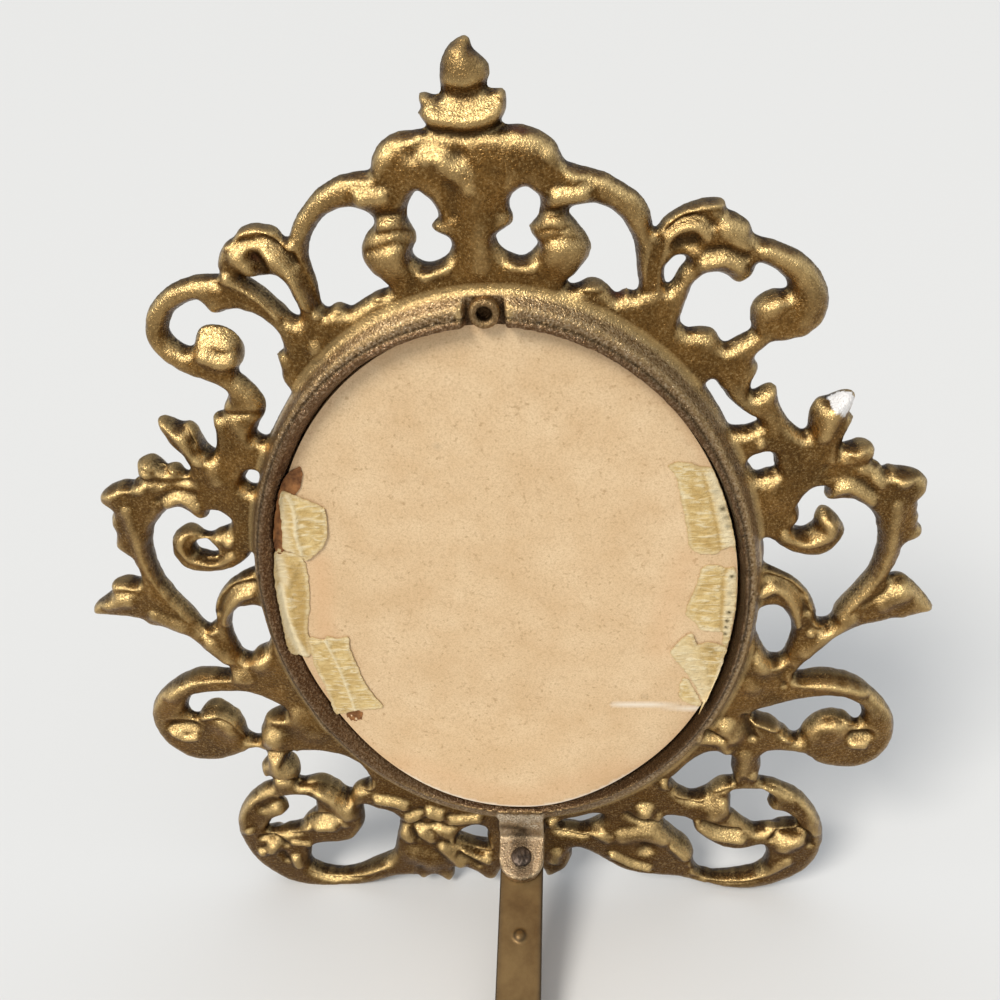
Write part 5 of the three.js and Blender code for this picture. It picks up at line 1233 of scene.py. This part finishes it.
# A painted highlight along the lower cut edge.
set_mask(card, "cut", (within < CUT_WIDTH) * (1 - ease(CUT_LOW, CUT_HIGH, spots[:, 1])))
pulp_card, tree, shader = finish_for("pulp_card")
CARD_PEACH = (0.74, 0.52, 0.295)
CARD_PALE = (0.83, 0.62, 0.38)
CARD_SPECK = (0.45, 0.27, 0.13)
CARD_STAINED = (0.72, 0.42, 0.21)
CARD_WHITE = (0.9, 0.8, 0.66)
CARD_DARK = (0.16, 0.1, 0.06)
fibre = use(tree, paper_fibre, Fibre=0.45, Cloud=12.0)
colour = coats(tree, CARD_PEACH, [
    (fibre["Cloud"], CARD_PALE),
    (rise(tree, fibre["Height"], 0.44, 0.62, 0.0, 0.36), CARD_SPECK),
    (times(tree, fibre["Speck"], 0.6), CARD_SPECK),
    (times(tree, fibre["Strand"], 0.3), CARD_SPECK),
    (times(tree, mask(tree, "stain"), 0.5), CARD_STAINED),
    (times(tree, mask(tree, "edge"), 0.25), CARD_STAINED),
    # Painted highlight on the lower cut edge
    (rise(tree, mask(tree, "cut"), 0.4, 1.0, 0.0, 0.8), CARD_WHITE),
    (times(tree, mask(tree, "dots"), 0.8), CARD_DARK),
    (times(tree, mask(tree, "scratch"), 0.9), CARD_WHITE),
])
join(tree, shader, {
    "Base Color": colour, "Roughness": 0.8, "Specular IOR Level": 0.25,
    "Normal": bump(tree, fibre["Height"], 0.35, 0.0001),
})
fit(card, pulp_card, "frame", "backing_card")

# Tapes
# Six pieces of old gummed paper tape hold the card. They are torn by hand, yellow with dry gum,
# wrinkled where the paper shrank, and folded up the wall of the recess where they reach it.
TAPE_THICK = 0.16
TAPE_STEP = 0.55
WALL_GAP = 0.45
TEAR, TEAR_REACH, TEAR_REACH_ACROSS = 0.22, 0.8, 0.7
WRINKLE, WRINKLE_REACH = 0.06, 0.9
COCKLE, COCKLE_REACH = 0.08, 2.4
DEEPEST_FOLD = -0.15
TORN_EDGE = (0.4, 1.2)
# The narrow rim at each tape's very edge is darkened: a gum stain and painted shade.
RIM_WIDTH = 0.5
NEXT_TEAR, NEXT_COCKLE = 2, 5


def torn(outline, seed):
    """An outline as torn paper: a smooth line with a fine ragged edge."""
    loop = curve_through(outline, TAPE_STEP, True)
    along = uneven(loop, TEAR_REACH, seed)
    across = uneven(loop[:, ::-1], TEAR_REACH_ACROSS, seed + NEXT_TEAR)
    return loop + TEAR * np.column_stack([along, across])


def up_the_wall(places, lean):
    """Places of a sheet in the recess, and how far each has climbed a wall that leans out."""
    climb = np.maximum(outside_recess(places) + WALL_GAP, 0)
    arm = places - RING_CENTRE
    return places - arm / np.linalg.norm(arm, axis=1)[:, None] * climb[:, None] * (1 - lean), climb


def paper_piece(name, sheets, climbs, lean, creases, seed):
    """Torn sheets, each with its height, with creases; climbs is how steeply they go up the wall."""
    work = bmesh.new()
    spots, ways = [], []
    for outline, height in sheets:
        places, faces, way = fill([torn(outline, seed)], TAPE_STEP)
        lift = strokes_at(places, creases) + WRINKLE * uneven(places, WRINKLE_REACH, seed)
        lift += COCKLE * uneven(places, COCKLE_REACH, seed + NEXT_COCKLE)
        laid, climb = up_the_wall(places, lean)
        back = height + np.maximum(lift, DEEPEST_FOLD) + climbs * climb
        add_slab(work, laid, faces, back, back - TAPE_THICK)
        spots += [places, places]
        ways += [way, way]
    piece = made_of(name, work)
    way = np.concatenate(ways)
    set_mask(piece, "torn", 1 - ease(*TORN_EDGE, way))
    set_mask(piece, "rim", 1 - ease(0, RIM_WIDTH, way))
    return piece, np.vstack(spots)


# Pale marks are paler strips of paper; on the upper and lower left tapes the first one runs along the raised
# crease and is a painted highlight.
TAPES = {
    "tape_upper_left": {
        "sheets": [([
            (-50.3, 149.3), (-49.3, 149.8), (-46.9, 148.7), (-43.6, 146.9), (-40.8, 145.3), (-39.8, 143.9),
            (-40.1, 139), (-40.6, 136.2), (-42.6, 132.9), (-46.6, 129.4), (-47.9, 130.6), (-50.3, 132.2),
            (-51.9, 133.1), (-51.4, 137), (-50.8, 141.5), (-50.5, 145.5),
        ], 4.6)],
        "climbs": 0.8, "lean": 0.6,
        "creases": [(0.5, 1, [(-48.1, 148.3), (-47.4, 145.4), (-47.4, 141.5), (-48, 137), (-47.5, 131.5)])],
        "pale": [(0.9, 0.8, [(-48.1, 148.3), (-47.4, 145.4), (-47.4, 141.5), (-48, 137), (-47.5, 131.5)]),
                 (0.5, 2, [(-50, 147), (-50.4, 140), (-50.6, 134)])],
    },
    "tape_middle_left": {
        "sheets": [([
            (-54.3, 132.2), (-52.9, 133.1), (-51.8, 132.2), (-48.1, 130.9), (-47.4, 129.1), (-47.2, 126.1),
            (-47.7, 119.9), (-48.8, 113.5), (-50.1, 108.9), (-50.4, 104.2), (-50.6, 100.1), (-51.7, 98.1),
            (-53.7, 99.1), (-56, 100.9), (-56.7, 104.3), (-56.6, 109), (-56.4, 115.5), (-56.2, 121.2),
            (-55.6, 126.8),
        ], 4.38)],
        "climbs": 0.9, "lean": 0.6,
        "creases": [
            (0.4, 1.2, [(-51.2, 129), (-50.9, 125), (-53, 121), (-53.6, 113), (-53.3, 105.6), (-52.4, 99)]),
        ],
        "pale": [(1.6, 1.9, [(-55, 121), (-55.4, 113), (-54.6, 106), (-53, 99.6)]),
                 (0.8, 2.2, [(-53.6, 130), (-53.4, 123)])],
        "gum": [(1, 3.2, [(-49.6, 127), (-50.2, 118), (-51.2, 110), (-51.4, 102)])],
    },
    "tape_lower_left": {
        "sheets": [([
            (-50.3, 104.9), (-47, 104.2), (-45.3, 105.2), (-42.5, 104.5), (-40.1, 105.2), (-40.2, 100.8),
            (-39.3, 96), (-38.1, 89.6), (-36.1, 84.5), (-34.4, 81.2), (-35.1, 79.8), (-40.1, 79.4),
            (-42.1, 79), (-47.4, 77.9), (-48.3, 83.1), (-49, 88.9), (-50.3, 93.9), (-50.6, 100.1),
        ], 4.52)],
        "climbs": 0.8, "lean": 0.5,
        "creases": [(0.35, 0.9, [(-46.2, 104.2), (-44.2, 95.3), (-42.8, 86.7), (-42, 79.4)]),
                    (0.25, 0.8, [(-50.4, 102.6), (-46.4, 104)])],
        "pale": [(1, 0.6, [(-46.2, 104.2), (-44.2, 95.3), (-42.8, 86.7), (-42, 79.4)]),
                 (0.7, 1, [(-49.8, 92), (-49, 86), (-48, 80)]), (0.5, 1.4, [(-45.5, 103)])],
    },
    "tape_upper_right": {
        "sheets": [([
            (39.3, 154), (40.4, 154.9), (43.6, 155), (46.5, 153.8), (48.9, 153.5), (50.7, 149.6),
            (52.2, 145.2), (53.7, 140.2), (55.1, 134.5), (55.6, 130.6), (54.6, 131.9), (52.2, 130.9),
            (51, 129.9), (47.6, 129.9), (45, 131.6), (44.4, 135.2), (43.4, 140.9), (42.1, 146.9),
            (41.2, 151.3),
        ], 4.38)],
        "climbs": 0.5, "lean": 0,
        "creases": [(-0.25, 0.7, [(47, 152.1), (48.4, 147.2), (49.9, 141.3), (51.3, 135.1), (52, 130.9)])],
        "pale": [(0.9, 2.2, [(49, 151.6), (50.6, 146.6), (52, 141), (53.4, 135), (54.4, 132)])],
        "mould": [(0.9, 1.4, [(51.9, 142.6)]), (0.7, 1.2, [(52.9, 140)]), (0.6, 1.1, [(53.4, 137.8)]),
                  (0.4, 1.2, [(50, 147.4)])],
    },
    "tape_middle_right": {
        "sheets": [([
            (48, 125.6), (50.7, 126.7), (54, 125.5), (55.4, 126), (56.3, 123.3), (56.6, 118.3), (56.6, 112.7),
            (56.2, 108.1), (55.8, 103.3), (55, 100.9), (54.2, 102.2), (54, 105.7), (52.2, 106), (48.6, 106.7),
            (47.4, 108.7), (44.7, 111.9), (46, 117.4), (47.3, 121.8),
        ], 4.38)],
        "climbs": 0.5, "lean": 0,
        "creases": [(-0.3, 0.7, [(53.8, 125.5), (53.1, 121.7), (53.4, 116.1), (53.4, 109.8), (53.8, 105.7)])],
        "pale": [(0.8, 1.8, [(55, 124), (55, 118), (55, 112), (55, 106)]),
                 (0.8, 0.9, [(48.6, 107.2), (53, 106.6)]), (0.6, 0.9, [(48.6, 125), (50.6, 126)])],
        "mould": [(1.5, 0.8, [(55.2, 123.1)]), (1.5, 0.9, [(55.1, 112.1)]), (1.5, 0.8, [(54.9, 109.5)]),
                  (1.5, 0.7, [(54.7, 107.5)]), (1.5, 0.8, [(54.6, 105.4)]), (0.4, 1.2, [(55, 118)]),
                  (0.4, 1.1, [(54.6, 115)])],
    },
    "tape_lower_right": {
        "sheets": [([
            (46.2, 105.8), (41.5, 99.8), (44.6, 94.2), (48.1, 87.9), (50.2, 82.1), (51.6, 77.6), (52, 80.8),
            (53, 86), (54.2, 93.6), (55, 98.5), (55.4, 100.6), (54.3, 101.5), (51.1, 102.8), (48.1, 102.2),
        ], 4.58), ([
            (44.8, 90.5), (44, 85.3), (45, 82.7), (48.9, 80.7), (50, 81.4), (48.2, 86), (46.4, 89.8),
        ], 4.36)],
        "climbs": 0.5, "lean": 0,
        "creases": [(0.3, 1.2, [(46.4, 105), (48.1, 99.2), (50.8, 90.4), (52.4, 83)])],
        "pale": [(0.55, 5, [(45, 100), (48, 92), (51, 83)]), (1.2, 0.7, [(54.6, 97), (53.4, 90), (52, 81)])],
        "mould": [(0.3, 1.6, [(50.6, 101), (52, 100)])],
    },
}
gummed_paper, tree, shader = finish_for("gummed_paper")
TAPE_YELLOW = (0.79, 0.59, 0.27)
TAPE_GUM = (0.5, 0.31, 0.09)
TAPE_PALE = (0.92, 0.8, 0.54)
TAPE_MOULD = (0.07, 0.05, 0.012)
SHRUNK_STRETCH = (0.4, 1.0, 1.6)
SHRUNK_SCALE = 700.0
fibre = use(tree, paper_fibre, Fibre=0.9, Cloud=3.5)
across = wire(tree, "Mapping", {"Vector": object_place(tree), "Scale": SHRUNK_STRETCH}).outputs[0]
shrunk = noise(tree, across, SHRUNK_SCALE, Detail=3.0, Distortion=0.8)
colour = coats(tree, TAPE_YELLOW, [
    (times(tree, fibre["Cloud"], 0.7), TAPE_GUM),
    (rise(tree, shrunk, 0.52, 0.66, 0.0, 0.6), TAPE_PALE),
    (rise(tree, shrunk, 0.48, 0.34, 0.0, 0.55), TAPE_GUM),
    (times(tree, mask(tree, "gum"), 0.7), TAPE_GUM),
    (times(tree, mask(tree, "torn"), 0.35), TAPE_PALE),
    # Paler paper, and painted highlights along raised creases
    (times(tree, mask(tree, "pale"), 0.8), TAPE_PALE),
    # Painted shade along the valley folds
    (times(tree, mask(tree, "fold"), 0.7), TAPE_GUM),
    # Gum stain and painted shade at the very edge
    (times(tree, mask(tree, "rim"), 0.45), TAPE_GUM),
    (times(tree, mask(tree, "mould"), rise(tree, fibre["Height"], 0.4, 0.56, 0.5, 1.0)), TAPE_MOULD),
])
wrinkled = sum_of(tree, "ADD", fibre["Height"], shrunk)
join(tree, shader, {
    "Base Color": colour, "Roughness": 0.6, "Specular IOR Level": 0.2,
    "Normal": bump(tree, wrinkled, 0.9, 0.0004),
})
# The valley folds of the creases are darkened with the gum colour: painted shade.
FOLD_SHADE, FOLD_HALF = 1.2, 0.6
for seed, (name, tape) in enumerate(TAPES.items()):
    piece, spots = paper_piece(
        name + "_paper", tape["sheets"], tape["climbs"], tape["lean"], tape["creases"], seed)
    folds = [(FOLD_SHADE, FOLD_HALF, line) for height, _, line in tape["creases"] if height < 0]
    set_mask(piece, "fold", strokes_at(spots, folds))
    for mark in ("gum", "pale", "mould"):
        set_mask(piece, mark, strokes_at(spots, tape.get(mark, [])))
    fit(piece, gummed_paper, "frame", name)

# Scraps
# Two torn corners of the brown paper that once covered the whole back, left under the tapes.
SCRAPS = {
    "paper_scrap_upper": [
        (-44, 155.8), (-43.6, 153.6), (-44.7, 150.4), (-46.1, 148.6), (-49, 146), (-50.6, 140), (-51, 135),
        (-52.2, 131.6), (-53.8, 132), (-54, 136), (-53.2, 140), (-52, 144.4), (-50.4, 149.4), (-48, 153.6),
    ],
    "paper_scrap_lower": [
        (-44, 79), (-40.2, 78.3), (-40.6, 75.6), (-38, 72.2), (-39.1, 70.7), (-41.5, 71.5), (-44.5, 75),
    ],
}
SCRAP_HEIGHT = 4.36
SCRAP_CLIMBS, SCRAP_LEAN = 1, 0.5
SCRAP_SEED = 8
brown_paper, tree, shader = finish_for("brown_paper")
SCRAP_ORANGE = (0.4, 0.175, 0.06)
SCRAP_DARK = (0.11, 0.042, 0.016)
fibre = use(tree, paper_fibre, Fibre=0.6, Cloud=2.5)
colour = coats(tree, SCRAP_ORANGE, [(fibre["Cloud"], SCRAP_DARK)])
join(tree, shader, {
    "Base Color": colour, "Roughness": 0.75, "Specular IOR Level": 0.2,
    "Normal": bump(tree, fibre["Height"], 0.6, 0.0002),
})
for seed, (name, outline) in enumerate(SCRAPS.items(), SCRAP_SEED):
    piece, _ = paper_piece(name + "_paper", [(outline, SCRAP_HEIGHT)], SCRAP_CLIMBS, SCRAP_LEAN, [], seed)
    fit(piece, brown_paper, "frame", name)

# Leg
# A strap of flat half-inch stock, round at the riveted end, with a pip punched up near the top.
# The flat is satin, olive brown with age. Its sheared side faces and the strip along its edges are
# painted dark as shade.
LEG_VOXEL = 0.35
LEG_HALF_WIDTH = 6.1
LEG_ROUNDS = 2
FLAT_FACING = (0.75, 0.95)
EDGE_SHADE_WIDTH = 1.6
SAME_PLACE = 1e-6


def recast(name, node, voxel, rounds):
    """A node's solid in even small faces with its edges rounded."""
    work = bmesh.new()
    work.from_mesh(frame["nodes"][node].data)
    bmesh.ops.remove_doubles(work, verts=work.verts, dist=SAME_PLACE)
    thing = even_faced(name, work, voxel)
    move_points(thing, rounded(points_of(thing), edges_of(thing), rounds))
    return thing


leg = recast("strap_leg", "easel_leg", LEG_VOXEL, LEG_ROUNDS)
# Painted shade on the side faces and along the edges of the flat.
set_mask(leg, "flat", ease(*FLAT_FACING, abs(normals_of(leg) @ hinge_axes[2])))
from_edge = LEG_HALF_WIDTH - abs(points_of(leg)[:, 0] - HINGE_POINT[0])
set_mask(leg, "edge_shade", 1 - ease(0, EDGE_SHADE_WIDTH, from_edge))
strap_metal, tree, shader = finish_for("strap_metal")
STRAP_OLIVE = (0.2, 0.125, 0.048)
STRAP_BROWN = (0.125, 0.07, 0.024)
STRAP_SHADE = (0.07, 0.05, 0.03)
grain = use(tree, metal_grain, Grain=0.3, Blotch=9.0)
colour = coats(tree, STRAP_OLIVE, [
    (grain["Blotch"], STRAP_BROWN),
    # Painted shade along the edges and on the side faces
    (times(tree, mask(tree, "edge_shade"), 0.6), STRAP_SHADE),
    (rise(tree, mask(tree, "flat"), 0.0, 1.0, 0.7, 0.0), STRAP_SHADE),
])
join(tree, shader, {
    "Base Color": colour, "Metallic": 0.7, "Roughness": rise(tree, grain["Fleck"], 0.0, 1.0, 0.5, 0.4),
    "Normal": bump(tree, grain["Height"], 0.3, 0.00006),
})
fit(leg, strap_metal, "leg", "easel_leg")

# Rivet
# A soft dark rivet through tongue and strap, peened over by hand, so its head is uneven.
RIVET_VOXEL = 0.2
RIVET_ROUNDS = 2
DENT, DENT_REACH, DENT_SEED = 0.24, 0.9, 3
DENT_BIAS = 0.5
HEAD_RISE = (0.2, 0.7)
rivet = recast("peened_rivet", "pivot_rivet", RIVET_VOXEL, RIVET_ROUNDS)
points = points_of(rivet)
dents = DENT * (uneven(points[:, :2], DENT_REACH, DENT_SEED) - DENT_BIAS)
on_head = ease(*HEAD_RISE, (points - HINGE_POINT) @ hinge_axes[2])
move_points(rivet, points + normals_of(rivet) * (dents * on_head)[:, None])
rivet_metal, tree, shader = finish_for("rivet_metal")
RIVET_DARK = (0.035, 0.026, 0.02)
RIVET_WORN = (0.17, 0.125, 0.095)
grain = use(tree, metal_grain, Grain=0.3, Blotch=2.0)
colour = coats(tree, RIVET_DARK, [(grain["Blotch"], RIVET_WORN)])
join(tree, shader, {
    "Base Color": colour, "Metallic": 0.8, "Roughness": 0.45,
    "Normal": bump(tree, grain["Height"], 0.6, 0.0001),
})
fit(rivet, rivet_metal, "frame", "pivot_rivet")

# Stage
# A pale floor, a high soft light from behind the eye, and a sky that is bright overhead.
FLOOR_HALF = 8
FLOOR_PALE = (0.72, 0.72, 0.71)
floor_mesh = bpy.data.meshes.new("floor")
corners = [(FLOOR_HALF * x, FLOOR_HALF * y, 0) for x, y in ((-1, -1), (1, -1), (1, 1), (-1, 1))]
floor_mesh.from_pydata(corners, [], [(0, 1, 2, 3)])
floor = new_object("floor", floor_mesh)
pale_floor, tree, shader = finish_for("pale_floor")
join(tree, shader, {"Base Color": FLOOR_PALE, "Roughness": 0.85, "Specular IOR Level": 0.1})
wear_finish(floor, pale_floor)

SKY_BLUE = (0.93, 0.96, 1)
SKY_LOW, SKY_HIGH = 0.05, 0.85
SKY_DIM, SKY_BRIGHT = 0.2, 0.85
world = bpy.data.worlds.new("studio")
world.use_nodes = True
tree = world.node_tree
height = wire(tree, "SeparateXYZ", {0: wire(tree, "TexCoord", {}).outputs["Generated"]}).outputs["Z"]
strength = rise(tree, height, SKY_LOW, SKY_HIGH, SKY_DIM, SKY_BRIGHT)
join(tree, tree.nodes["Background"], {"Color": SKY_BLUE, "Strength": strength})
bpy.context.scene.world = world

SUN_FROM = Vector((0.42, 0.6, 0.74))
sun = bpy.data.lights.new("soft_sun", "SUN")
sun.energy = 2.3
sun.angle = math.radians(22)
sun.color = (1, 0.96, 0.9)
new_object("soft_sun", sun).rotation_euler = SUN_FROM.to_track_quat("Z", "Y").to_euler()

# The camera stands at the eye, with its right and up directions given in the casting's plane.
CAMERA_RIGHT = np.array([0.99591, -0.063, -0.064765])
CAMERA_UP = np.array([0.017266, 0.836301, -0.547999])
camera = bpy.data.cameras.new("camera")
camera.sensor_width = 36
camera.lens = 36
camera.clip_start = 0.01
right = Vector(CAMERA_RIGHT @ PLANE_AXES).normalized()
up = Vector(CAMERA_UP @ PLANE_AXES).normalized()
view = Matrix((right, up, right.cross(up))).transposed().to_4x4()
view.translation = Vector(stand_up(EYE))
holder = new_object("camera", camera)
holder.matrix_world = view
bpy.context.scene.camera = holder
bpy.context.scene.view_settings.view_transform = "Standard"
